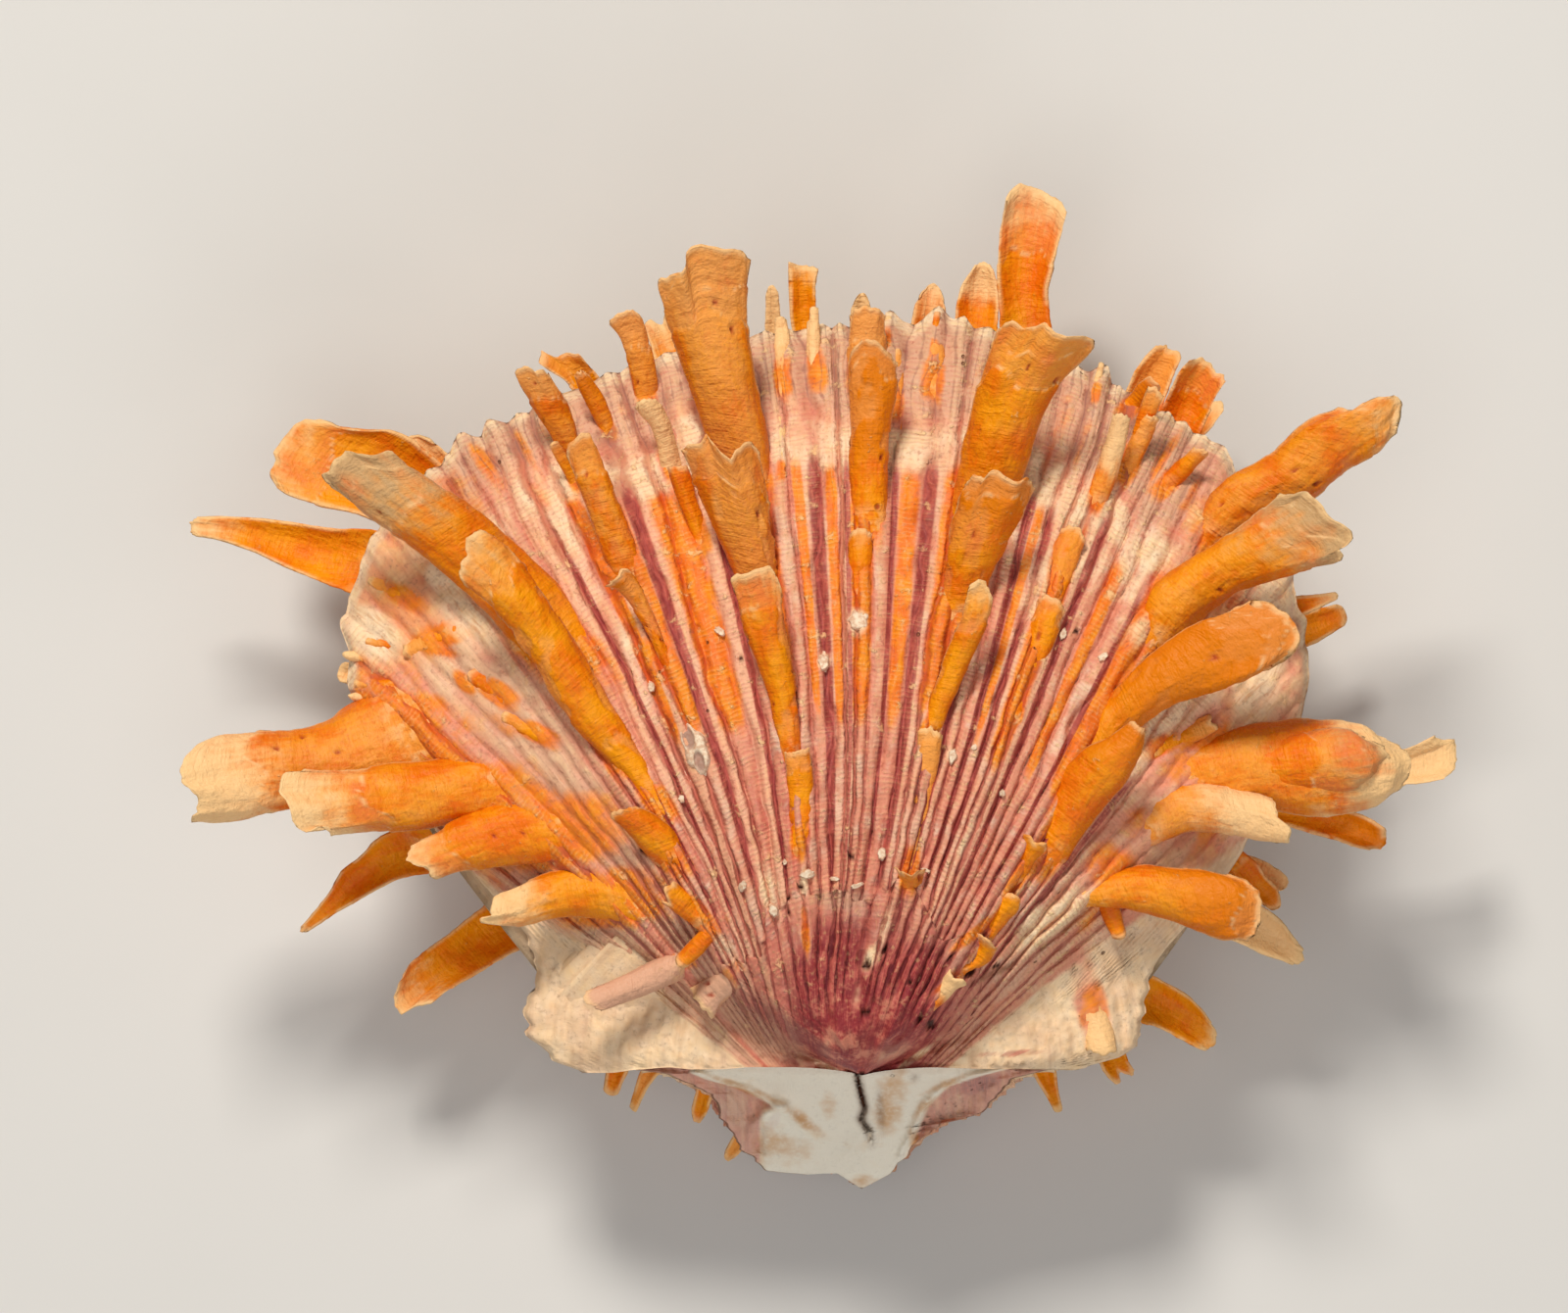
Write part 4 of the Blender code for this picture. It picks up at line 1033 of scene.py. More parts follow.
@dataclass(frozen=True)
class SpineFinish:
    """The orange spines, which turn cream, ash or mustard at their tips."""

    name: str = "orange_spine"

    def build(self) -> bpy.types.Material:
        """Builds the material.

        Returns:
            A material that reads the marks that the spines make.
        """
        board = Board(self.name)
        mix, ramp = board.mix, board.ramp
        (along, run, turn, rim, layer, root, inside, flake, pit, lip, side, luck, tint,
         tint_from, bloom) = map(board.read, SPINE_MARKS)
        # Side is how far a point on the outside lies towards either edge of the spine; the finish
        # paints shade there.
        side = ramp(side, 0.35, 0.95) * (1 - inside)
        here = board.position()
        cloud = board.noise(here, 0.26, 3.0)
        patch = board.noise(here, 0.6, 4.0)
        speck = board.noise(here, 2.4, 4.0)
        fibre = board.noise(board.place(turn * 2.0, run * 0.35, luck * 9.0), 1.0, 4.0)
        rings = board.noise(board.place(turn * 0.3, run * 2.0, luck * 9.0), 1.0, 3.0)
        lamella = board.noise(board.place(turn * 0.35, run * 5.0, luck * 9.0), 1.0, 2.0)

        stops = (
            (0.0, Palette.orange), (0.16, Palette.salmon), (0.33, Palette.cream),
            (0.5, Palette.ash), (0.66, Palette.mustard), (0.83, Palette.blush),
        )
        tip = board.node("ShaderNodeValToRGB", {"stops": stops}, {0: tint})
        warm = ramp(cloud * 0.9 + fibre * 0.4 + luck * 0.2, 0.5, 0.92)
        skin = mix(warm, Palette.orange, Palette.amber)
        deep = ramp(fibre * 0.7 + speck * 0.3 - cloud * 0.4, 0.28, 0.5)
        skin = mix(deep * 0.32, skin, Palette.rust)
        # Painted shade: the edges of each spine, where its back curves under, turn rust, along with
        # the deeper orange the spines have there.
        skin = mix(side * 0.45, skin, Palette.rust)
        bloom = bloom * (1 - side) * (1 - inside)
        mottle = ramp(bloom + cloud * 0.7 + patch * 0.4 + fibre * 0.3, 1.0, 1.45)
        skin = mix(mottle * 0.75, skin, Palette.salmon)
        grit = ramp(speck + (fibre - 0.5) * 0.5, 0.48, 0.72)
        skin = mix(grit * 0.35, skin, Palette.amber)
        skin = mix(ramp(lamella, 0.52, 0.7) * 0.14, skin, Palette.rust)
        ringed = ramp(1 - speck + (rings - 0.5) * 0.6, 0.5, 0.75)
        skin = mix(ringed * 0.28, skin, Palette.rust)
        reach = along + (cloud - 0.5) * 0.5 + (patch - 0.5) * 0.3 + (fibre - 0.5) * 0.25
        skin = mix(ramp(reach - tint_from, -0.06, 0.32) * 0.9, skin, tip)
        skin = mix(layer * 0.1, skin, Palette.cream)
        skin = mix(lip * ramp(patch, 0.35, 0.5) * 0.6, skin, Palette.cream)
        skin = mix(flake * 0.24, skin, mix(cloud, Palette.cream, Palette.salmon))
        skin = mix(root * ramp(patch, 0.45, 0.6) * 0.5, skin, Palette.cream)
        skin = mix(rim * ramp(patch, 0.3, 0.5) * 0.7, skin, Palette.cream)
        flecks = ramp(speck * 0.5 + patch * 0.7, 0.78, 0.86)
        skin = mix(flecks * 0.3, skin, Palette.cream)
        grime = ramp(speck * 0.7 + rings * 0.3 - patch * 0.3, 0.46, 0.6)
        skin = mix(grime * 0.12, skin, Palette.brown)
        spots = board.dots(here, 0.16, 0.08, 0.8)
        skin = mix(spots * 0.8, skin, Palette.garnet)
        skin = mix(pit * 0.9, skin, Palette.garnet)

        scales = board.cells(here, 0.9, "Distance")
        height = fibre * 0.1 + rings * 0.16 + speck * 0.12 + patch * 0.18 + flecks * 0.05
        height = height + scales * 0.1 - spots * 0.15 - grime * 0.04 - lamella * 0.08
        return board.finish(skin, 0.34 + speck * 0.24, board.bump(height, 1.0))


@dataclass(frozen=True)
class LigamentFinish:
    """Dry, cracked, nearly black horn."""

    name: str = "dry_ligament"

    def build(self) -> bpy.types.Material:
        """Builds the material.

        Returns:
            The material.
        """
        board = Board(self.name)
        crumbs = board.noise(board.position(), 3.0, 4.0)
        colour = board.mix(crumbs, srgb(26, 16, 12), Palette.brown)
        return board.finish(colour, 0.55 + crumbs * 0.3, board.bump(crumbs, 0.3))


@dataclass(frozen=True)
class CrustFinish:
    """Chalky white crust of small barnacles and chips."""

    name: str = "chalky_crust"

    def build(self) -> bpy.types.Material:
        """Builds the material.

        Returns:
            The material.
        """
        board = Board(self.name)
        crumbs = board.noise(board.position(), 2.4, 4.0)
        hollow = board.read("hollow")
        colour = board.mix(board.ramp(crumbs, 0.35, 0.7), Palette.white, Palette.lilac)
        colour = board.mix(hollow * 0.8, colour, srgb(160, 118, 104))
        return board.finish(colour, 0.5 + crumbs * 0.2, board.bump(crumbs, 0.12))


@dataclass
class Sheet:
    """Points, faces and the numbers they carry, gathered before a mesh is made."""

    points: list[np.ndarray] = field(default_factory=list)
    faces: list[np.ndarray] = field(default_factory=list)
    marks: list[dict[str, np.ndarray]] = field(default_factory=list)

    def add(self, points: np.ndarray, marks: dict[str, np.ndarray]) -> int:
        """Adds points and their marks.

        Args:
            points: The points, with their three coordinates last.
            marks: Each mark's value, for every point or for all of them.

        Returns:
            The number of the first point.
        """
        start = sum(len(block) for block in self.points)
        self.points.append(points.reshape(-1, 3))
        size = points.shape[:-1]
        self.marks.append({key: np.broadcast_to(marks[key], size).ravel() for key in marks})
        return start

    def weave(self, index: np.ndarray, around: bool = False, flip: bool = False) -> None:
        """Adds a quad between each four neighbours of a grid of point numbers.

        Args:
            index: Point numbers in rows and columns.
            around: True where the last column meets the first.
            flip: True to turn the faces over.
        """
        if around:
            index = np.concatenate((index, index[:, :1]), axis=1)
        quads = np.stack(
            (index[:-1, :-1], index[:-1, 1:], index[1:, 1:], index[1:, :-1]), axis=-1
        ).reshape(-1, 4)
        self.faces.append(quads[:, ::-1] if flip else quads)

    def cap(self, row: np.ndarray, flip: bool = False) -> None:
        """Closes a ring of points with a strip between its two halves.

        Args:
            row: Point numbers around the ring.
            flip: True to turn the faces over.
        """
        half, odd = divmod(len(row), 2)
        back = np.concatenate((row[:1], row[: half - 1 + odd : -1]))
        self.weave(np.stack((row[: half + 1], back)), flip=flip)

    def hollow_out(self, ring: np.ndarray, marks: dict[str, np.ndarray], level: float,
                   steps: Table) -> None:
        """Closes a valve from inside with rows of points that step in from its rim.

        Args:
            ring: Point numbers around the rim.
            marks: What the new points carry.
            level: Height of the rim.
            steps: For each row, its share of the way in and its height over the rim.
        """
        loop = np.concatenate(self.points)[ring]
        rows = [ring]
        for inward, height in steps:
            row = loop + (np.array(HOLLOW_MIDDLE) - loop) * inward
            row[:, 2] = level + height
            rows.append(self.add(row, marks) + np.arange(len(row)))
        below = steps[-1][1] < 0
        self.weave(np.array(rows), around=True, flip=below)
        self.cap(rows[-1], flip=not below)

    def piece(self, name: str, material: bpy.types.Material) -> bpy.types.Object:
        """Makes the mesh, moved to its place and scaled to metres.

        Args:
            name: The piece's name.
            material: Its finish.

        Returns:
            The new object, linked to the scene.
        """
        points = (np.concatenate(self.points) + np.array(SHELL_ORIGIN)) * MM
        faces = np.concatenate(self.faces)
        closed = faces == np.roll(faces, -1, axis=1)
        quads = faces[~closed.any(axis=1)]
        once = closed.sum(axis=1) == 1
        triangles = faces[once][~closed[once]].reshape(-1, 3)
        corners = np.concatenate((quads.ravel(), triangles.ravel()))
        sizes = np.repeat((4, 3), (len(quads), len(triangles)))
        starts = np.concatenate(([0], np.cumsum(sizes)[:-1]))
        mesh = bpy.data.meshes.new(name)
        mesh.vertices.add(len(points))
        mesh.vertices.foreach_set("co", points.ravel())
        mesh.loops.add(len(corners))
        mesh.loops.foreach_set("vertex_index", corners)
        mesh.polygons.add(len(starts))
        mesh.polygons.foreach_set("loop_start", starts)
        mesh.polygons.foreach_set("use_smooth", np.ones(len(starts), bool))
        for key in self.marks[0]:
            carried = mesh.attributes.new(key, "FLOAT", "POINT")
            values = np.concatenate([block[key] for block in self.marks])
            carried.data.foreach_set("value", values.astype(np.float32))
        mesh.update(calc_edges=True)
        mesh.validate()
        mesh.materials.append(material)
        made = bpy.data.objects.new(name, mesh)
        bpy.context.scene.collection.objects.link(made)
        return made


def grid_index(start: int, rows: int, columns: int) -> np.ndarray:
    """The numbers of the points of a grid that was added row by row."""
    return start + np.arange(rows * columns).reshape(rows, columns)


def valve_marks(x: np.ndarray, **given: np.ndarray) -> dict[str, np.ndarray]:
    """All the marks of a valve's points at x, 0 where none is given."""
    return dict.fromkeys(VALVE_MARKS, 0 * x) | given


@dataclass(frozen=True)
class Dab:
    """A patch of one mark on a valve: where, how long and wide, which way, how strong."""

    mark: str
    middle: Pair
    length: float
    width: float
    heading: float
    strength: float = 1.0

    def cover(self, x: np.ndarray, y: np.ndarray) -> np.ndarray:
        """How far the patch covers each plan position, from 0 to its strength.

        Args:
            x: Plan positions along the hinge, in millimetres.
            y: Plan positions from the hinge to the far margin.

        Returns:
            The cover.
        """
        turn = math.radians(self.heading)
        along = (x - self.middle[0]) * math.sin(turn) + (y - self.middle[1]) * math.cos(turn)
        across = (x - self.middle[0]) * math.cos(turn) - (y - self.middle[1]) * math.sin(turn)
        far = (2 * along / self.length) ** 2 + (2 * across / self.width) ** 2
        return self.strength * np.exp(-(far**1.5))


@dataclass(frozen=True)
class Pit:
    """A hole that a borer left, or the hollow of a broken scale."""

    middle: Pair
    radius: float
    depth: float = 0.8


@dataclass
class Places:
    """Where the points of the upper valve lie.

    Angle is the end angle of the riblet through each point, share its share of the way
    from the umbo to the margin, count the riblet's number and halt how near the point
    is to the line where the first growth stopped.
    """

    angle: np.ndarray
    share: np.ndarray
    distance: np.ndarray
    x: np.ndarray
    y: np.ndarray
    count: np.ndarray
    halt: np.ndarray


@dataclass
class UpperValve:
    """The ribbed upper valve: a dome that is highest a third of the way out.

    Hollow gives rows inside the valve as share of the way in and height. Margin is
    angle and distance, dome_across angle and share of the height, teeth are angle,
    length and half width, and the bands angle and half width.
    """

    edge: float = 1.8
    dome_height: float = 16.0
    dome_shape: Pair = (0.62, 0.7)
    beak_height: float = 4.2
    beak_reach: float = 8.0
    beak_overhang: float = 1.3
    beak_overhang_reach: float = 4.0
    ear_slope: float = 3.0
    umbo_shift: tuple[Pair, Pair] = ((2.6, 22.0), (5.5, 16.0))
    rib_height: float = 0.9
    rib_spread: float = 2.6
    rib_rise: float = 22.0
    riblet_height: float = 0.42
    early_ribs: float = 0.66
    first_stop: float = 0.225
    ear_pitch: float = 2.6
    growth_pitch: float = 4.6
    early_ring_pitch: float = 0.95
    fold_pitch: float = 1.7
    margin_drop: float = 1.1
    rows: int = 150
    columns_per_riblet: int = 10
    ear_columns: int = 42
    hollow: Table = (
        (0.0, 0.0), (0.045, 0.0), (0.1, 2.2), (0.3, 7.0), (0.62, 10.0), (0.97, 11.0),
    )
    margin: Table = (
        (-92, 27.5), (-87, 33.5), (-80, 34.5), (-70, 34.5), (-64, 38), (-60, 48),
        (-57, 58), (-52, 66), (-46, 72), (-38, 75), (-22, 75), (0, 75.5),
        (9, 76.5), (18, 74), (29, 73), (35, 70), (42, 65), (45, 63), (48, 60.5),
        (51, 57), (54, 51), (57, 46.5), (60, 42.5), (63, 37), (66, 31.5), (75, 29.5),
        (87, 28), (92, 20.5),
    )
    dome_across: Table = (
        (-92, 0.0), (-64, 0.02), (-58, 0.16), (-50, 0.44), (-40, 0.73), (-25, 0.94), (0, 1.0),
        (22, 0.95), (35, 0.75), (45, 0.48), (53, 0.2), (59, 0.03), (92, 0.0),
    )
    teeth: tuple[Triple, ...] = (
        (-32.4, 1.6, 0.9), (-29.8, 0.9, 0.9), (-13.0, 0.5, 0.8), (2.2, 1.1, 0.7), (5.8, 1.8, 0.8),
        (7.6, 0.6, 0.6), (18.8, 1.5, 0.9), (22.0, 0.8, 0.8), (29.8, 1.0, 0.8), (-49.0, 0.9, 0.9),
        (-53.0, 1.0, 0.8), (-56.5, 0.8, 0.9), (40.5, 0.8, 0.8), (44.0, 0.7, 0.8), (-84.0, 0.7, 1.4),
        (-80.0, 0.8, 1.2), (-76.5, 0.5, 1.2), (-89.0, 0.5, 1.2),
    )
    pits: tuple[Pit, ...] = (
        Pit((0.4, 10.2), 0.55), Pit((2.2, 11.8), 0.4), Pit((10.8, 9.6), 0.75, 1.1),
        Pit((-1.2, 21.2), 0.45), Pit((7.0, 4.2), 0.65), Pit((5.7, 4.8), 0.35), Pit((0.3, 5.6), 0.6),
        Pit((-6.3, 18.2), 0.4), Pit((21.8, 44.2), 0.35), Pit((5.4, 27.0), 0.35),
        Pit((9.0, 11.0), 0.3), Pit((-7.6, 17.0), 0.35), Pit((13.6, 10.0), 0.3),
        Pit((-22.3, 21.8), 0.45), Pit((-12.4, 41.3), 0.35), Pit((-19.2, 20.6), 0.3),
        Pit((4.9, 8.6), 0.3), Pit((-7.4, 15.4), 0.3),
    )
    ember_bands: Table = (
        (-36.0, 1.6), (-26.4, 0.8), (-23.5, 1.3), (-18.2, 2.1), (-10.2, 1.7), (-6.1, 0.6),
        (-3.0, 0.65), (0.0, 1.3), (4.5, 1.15), (9.3, 1.7), (17.1, 0.55), (20.7, 1.5), (26.2, 0.9),
        (31.0, 1.7), (37.0, 1.0),
    )
    wine_bands: Table = (
        (-33.0, 0.45), (-29.0, 0.4), (-21.7, 0.75), (-14.2, 0.5), (-4.5, 0.8), (-1.5, 0.3),
        (3.1, 0.4), (6.4, 0.8), (12.2, 0.5), (16.1, 0.55), (18.35, 0.5), (23.4, 0.6), (29.4, 0.5),
        (34.0, 0.6), (40.0, 0.6),
    )
    dabs: tuple[Dab, ...] = (
        Dab("ember", (-43.8, 42.4), 6.0, 1.3, -72), Dab("ember", (-40.6, 38.8), 3.4, 1.6, -40),
        Dab("ember", (-46.0, 36.8), 10.0, 3.0, -80, 0.9), Dab("ember", (-33, 27), 9, 4, -58, 0.8),
        Dab("ember", (11.5, 13.5), 7.0, 1.4, 52), Dab("ember", (15.5, 18.5), 5.0, 1.6, 30),
        Dab("ember", (-5.8, 13.6), 6.0, 1.1, -4, 0.9), Dab("pale", (-5.9, 18.6), 4, 1.3, 0, 0.8),
        Dab("ember", (8.0, 8.0), 4.0, 0.8, 50, 0.8), Dab("pale", (-4.0, 41.0), 2.0, 1.6, 0),
        Dab("pale", (9.0, 31.5), 1.8, 1.2, 10), Dab("pale", (-0.5, 45.0), 3.4, 2.6, 0, 0.8),
        Dab("pale", (-50, 44), 9, 6, -50, 0.9), Dab("pale", (-40.5, 46.0), 16.0, 6.0, -40, 0.75),
        Dab("pale", (3.0, 1.6), 5.0, 2.4, 70, 0.5), Dab("pale", (-3.5, 2.6), 3.0, 1.6, 20, 0.45),
        Dab("pale", (27.5, 31.0), 7, 5, 45, 0.7), Dab("pale", (32.5, 36.5), 14, 6, 60, 0.8),
        Dab("pale", (33.0, 25.5), 9, 5, 70, 0.8), Dab("mauve", (-2.6, 16.9), 6, 2.2, 90, 1.0),
        Dab("pale", (2.4, 14.6), 6.0, 1.1, 14, 0.6), Dab("pale", (0.6, 10.8), 3.4, 2.0, 20, 0.7),
        Dab("pale", (-0.6, 7.2), 3.0, 1.0, 10, 0.6), Dab("ember", (14.2, 15.4), 5.5, 1.6, 38, 0.9),
        Dab("ember", (9.0, 8.4), 5, 1.5, 48, 0.7), Dab("pale", (9.2, 20.4), 12, 1.0, 26, 0.5),
        Dab("pale", (-9.6, 18.4), 7, 2.6, -20, 0.6), Dab("mauve", (-9.6, 3.6), 16, 5.5, -56, 1.0),
        Dab("wine", (-8.4, 4.4), 12, 2.6, -56, 0.7), Dab("pale", (-3.0, -0.2), 6.5, 0.9, 111, 0.9),
        Dab("pale", (5.0, 0.6), 7.5, 0.9, 58, 0.9), Dab("wine", (-2.5, 5.0), 5, 3.5, -30, 0.9),
        Dab("wine", (5.5, 5.2), 6, 3.0, 50, 0.8), Dab("ember", (26.0, 33.5), 6, 3, 60, 0.6),
        Dab("ember", (35.5, 33.3), 9, 3, 75, 0.9), Dab("ember", (23.5, 6.5), 4.0, 3.0, 0, 0.75),
        Dab("ember", (23.0, 10.0), 3, 2, 0, 0.5), Dab("pale", (41.0, 43.0), 24, 7, 10, 1.0),
        Dab("mauve", (-37.5, 38.5), 18, 5, -44, 0.9), Dab("ember", (-43.0, 31.5), 15, 5, -62, 0.9),
        Dab("pale", (33.0, 17.0), 10, 6, 60, 0.9), Dab("stain", (13.5, 9.3), 6, 0.7, 66, 0.7),
        Dab("wine", (16, 1.0), 12, 0.9, 88, 0.6), Dab("ember", (30.0, 49.0), 6, 2.0, 38, 0.6),
        Dab("ember", (20.6, 66), 8, 2.4, 20, 0.6), Dab("ember", (25.5, 19.5), 8, 6.5, -30, 0.85),
        Dab("ember", (23.0, 15.5), 6, 3, 20, 0.7), Dab("ember", (-38.5, 61.0), 8, 2.2, -34, 0.8),
        Dab("ember", (-34, 62), 9, 1.4, -30, 0.7), Dab("ember", (31.0, 62.0), 9, 1.3, 32, 0.8),
        Dab("ember", (27.5, 62.5), 9, 1.2, 30, 0.8), Dab("pale", (19.5, 14.6), 14, 4.5, 54, 0.8),
        Dab("pale", (-14.5, 12.5), 9, 2.0, -48, 0.5), Dab("ember", (33.5, 58.0), 8, 1.4, 34, 0.7),
        Dab("ember", (22.5, 63.5), 7, 1.2, 22, 0.6), Dab("ember", (-47.5, 33.0), 7, 3.0, -70, 0.6),
        Dab("ember", (-36.5, 34.5), 5, 2.4, -55, 0.5), Dab("pale", (17.5, 48.0), 9, 3.2, 22, 0.6),
        Dab("pale", (28.5, 44.0), 7, 4.0, 40, 0.6), Dab("pale", (-24.5, 44.0), 6, 2.4, -30, 0.6),
        Dab("mauve", (2.0, 62.5), 10, 5, 0, 0.7), Dab("ember", (-33.0, 58.0), 6, 2.0, -33, 0.6),
        Dab("ember", (19.0, 62), 7, 1.5, 18, 0.5), Dab("pale", (-30, 54), 7, 3.0, -33, 0.8),
        Dab("pale", (21.5, 55.0), 8, 3, 24, 0.8),
    )

    def outline(self, angle: np.ndarray) -> np.ndarray:
        """Distance of the margin from the umbo."""
        return blurred(self.margin, angle)

    def fan(self, angle: np.ndarray) -> np.ndarray:
        """1 on the fan of ribs and 0 on the ears."""
        return window(FAN_LEFT - 1, FAN_RIGHT + 1, 2.5, angle)

    def main_rib(self, angle: np.ndarray) -> np.ndarray:
        """How far the main ribs raise the shell, from 0 to 1."""
        near = [bell(angle - rib, self.rib_spread) for rib in MAIN_RIBS]
        return np.max(near, axis=0)

    def body_height(self, angle: np.ndarray, share: np.ndarray, distance: np.ndarray,
                    rib_angle: np.ndarray) -> np.ndarray:
        """Height of the smooth dome over the commissure, main ribs included.

        Args:
            angle: End angle of the fan line through each point.
            share: Share of the way from the umbo to the margin.
            distance: Distance from the umbo.
            rib_angle: End angle of the riblet through each point.

        Returns:
            The height.
        """
        power, flatness = self.dome_shape
        arc = np.clip(np.sin(np.pi * np.clip(share, 0, 1) ** power), 0, 1) ** flatness
        across = blurred(self.dome_across, angle)
        ear = self.ear_slope * (1 - across) * 4 * share * np.clip(1 - share, 0, 1)
        beak = self.beak_height * bell(distance, self.beak_reach)
        rib = self.rib_height * self.main_rib(rib_angle) * np.clip(distance / self.rib_rise, 0, 1)
        return self.edge + ear + beak + self.dome_height * across * arc + rib

    def height_at(self, x: np.ndarray, y: np.ndarray) -> np.ndarray:
        """Height of the valve at plan positions, without its fine relief.

        Args:
            x: Plan positions along the hinge, in millimetres.
            y: Plan positions from the hinge to the far margin.

        Returns:
            The heights, in millimetres.
        """
        distance, angle = np.hypot(x, y), end_angle_through(x, y)
        share = distance / self.outline(angle)
        return COMMISSURE + self.body_height(angle, share, distance, self.rib_angle(x, y))

    def rib_angle(self, x: np.ndarray, y: np.ndarray) -> np.ndarray:
        """End angle of the riblet through each place; at the umbo they start side by side.

        Args:
            x: Plan positions along the hinge, in millimetres.
            y: Plan positions from the hinge to the far margin.

        Returns:
            The end angles, in degrees.
        """
        distance = np.hypot(x, y)
        (aside, aside_reach), (behind, behind_reach) = self.umbo_shift
        aside = aside * bell(distance, aside_reach)
        behind = behind * bell(distance, behind_reach)
        return end_angle_through(x + aside, y + behind)

    def riblet(self, angle: np.ndarray, share: np.ndarray,
               early: np.ndarray | bool) -> np.ndarray:
        """Riblet coordinate: a whole number on each crest; the early growth has fewer.

        Args:
            angle: End angles of the places, in degrees.
            share: Shares of the way from the umbo to the margin.
            early: Whether each place belongs to the early growth.

        Returns:
            The riblet coordinates.
        """
        waver = 0.22 * grain(3, angle * 0.25, share * 9) + 0.14 * grain(4, angle * 0.8, share * 34)
        count = np.interp(angle, CRESTS, np.arange(len(CRESTS)))
        outside = np.minimum(angle - FAN_LEFT, 0) + np.maximum(angle - FAN_RIGHT, 0)
        count = count + outside / self.ear_pitch
        middle = len(CRESTS) / 2
        fewer = middle + (count - middle) * self.early_ribs
        return np.where(early, fewer, count) + waver

    def ribbed(self, angle: np.ndarray, distance: np.ndarray) -> np.ndarray:
        """1 on the fan of ribs, less on the smooth flank and at the umbo, 0 on the ears.

        Args:
            angle: End angles of the places, in degrees.
            distance: Distances from the umbo, in millimetres.

        Returns:
            How ribbed each place is.
        """
        smooth_flanks = window(-48.5, -38.5, 1.5, angle) + 0.9 * smooth(38, 43, angle)
        fan = self.fan(angle)
        sides = smooth(34, 48, -angle) + 0.5 * smooth(44, 52, angle)
        worn_sides = 0.65 * sides * fall(14, 26, distance)
        fan = fan * (1 - 0.6 * smooth_flanks * smooth(26, 36, distance)) * (1 - worn_sides)
        return fan * smooth(4, 9.5, distance + 0.12 * np.clip(angle + 12, -40, 0))

    def mounds(self, x: np.ndarray, y: np.ndarray) -> tuple[np.ndarray, np.ndarray]:
        """The swelling from which each spine leaves the shell.

        Args:
            x: Places along the hinge.
            y: Places from the hinge to the far margin.

        Returns:
            Its height, and how far each place lies on a swelling.
        """
        height, cover = np.zeros_like(x), np.zeros_like(x)
        for spine in itertools.chain.from_iterable(UPPER_SPINES.values()):
            (rx, ry), (tx, ty) = spine.root, spine.tip
            reach = math.hypot(tx - rx, ty - ry)
            ax, ay = (tx - rx) / reach, (ty - ry) / reach
            along = (x - rx) * ax + (y - ry) * ay
            across = (x - rx) * ay - (y - ry) * ax
            width = spine.root_width * (1 + 0.6 * spine.foot)
            side = bell(across, 0.62 * width)
            ahead = smooth(-1.9 * width, 0.2 * width, along)
            behind = fall(0.5 * width, min(2.2 * width, 0.9 * reach), along)
            height = np.maximum(height, 0.1 * spine.root_width * side * ahead * behind)
            close = np.exp(-((across / (0.5 * width)) ** 4))
            cover = np.maximum(cover, close * smooth(-1.5 * width, 0.2 * width, along) * behind)
        return height, cover

    def relief(self, at: Places) -> tuple[np.ndarray, np.ndarray]:
        """The fine shape over the smooth dome.

        Args:
            at: The places.

        Returns:
            Height of the relief, and how far each point lies in a pit.
        """
        angle, share, distance, x, y = at.angle, at.share, at.distance, at.x, at.y
        rise = np.clip(distance / self.rib_rise, 0, 1)
        crest = np.round(at.count)
        side = np.abs(at.count - crest) * 2
        strength = 0.75 + 0.5 * luck_of(crest, 5)
        wear = 0.85 + 0.6 * grain(13, crest * 3.7, distance * 0.45)
        gap = 0.7 + 0.6 * luck_of(np.floor(at.count), 6)
        cord = 0.75 - 1.6 * gap * smooth(0.42, 1.0, side) - 0.2 * side
        riblets = self.riblet_height * strength * wear * cord
        riblets = riblets * self.ribbed(angle, distance) * np.clip(distance / 24, 0.4, 1)
        riblets = riblets * (1 - 0.35 * smooth(0.8, 0.92, share))
        riblets = riblets * (1 - 0.6 * at.halt * smooth(-0.4, 0.6, grain(16, x * 0.5, y * 0.9)))
        fine = 0.13 * np.cos(at.count * math.tau * 3) * smooth(0.6, 0.85, share)
        fine = fine * self.ribbed(angle, distance)
        growth = distance / self.growth_pitch + 0.5 * grain(7, angle * 0.11, distance * 0.1)
        ledges = 0.16 * (growth % 1.0) ** 5 * rise
        ledges = ledges - at.halt * 0.3 * grain(15, x * 1.3, y * 1.3)
        early_turn = distance * math.tau / self.early_ring_pitch
        early_rings = np.cos(early_turn + 2.5 * grain(18, x * 0.3, y * 0.3))
        ledges = ledges - 0.07 * early_rings * window(0.08, 0.26, 0.04, share)
        fold_turn = distance * math.tau / self.fold_pitch
        fold = 0.12 * np.sin(fold_turn + 2 * grain(9, x * 0.2, y * 0.2))
        folds = fold * (1 - self.ribbed(angle, distance)) * rise
        lumps = 0.24 * rough(11, x * 0.45, y * 0.45) + 0.13 * grain(19, x * 1.9, y * 1.9)
        umbo = 1.7 * rough(17, x * 0.5, y * 0.5) - 0.8 * np.abs(grain(21, x * 0.9, y * 0.9))
        umbo = umbo * bell(distance, 8)
        height = riblets + fine - ledges + folds + lumps + umbo + self.mounds(x, y)[0]
        hollow = np.zeros_like(x)
        for pit in self.pits:
            far = np.hypot(x - pit.middle[0], y - pit.middle[1]) / pit.radius
            bowl = fall(0.55, 1.05, far)
            height = height - pit.depth * bowl + 0.14 * window(1.0, 1.5, 0.2, far)
            hollow = np.maximum(hollow, bowl)
        return height, hollow

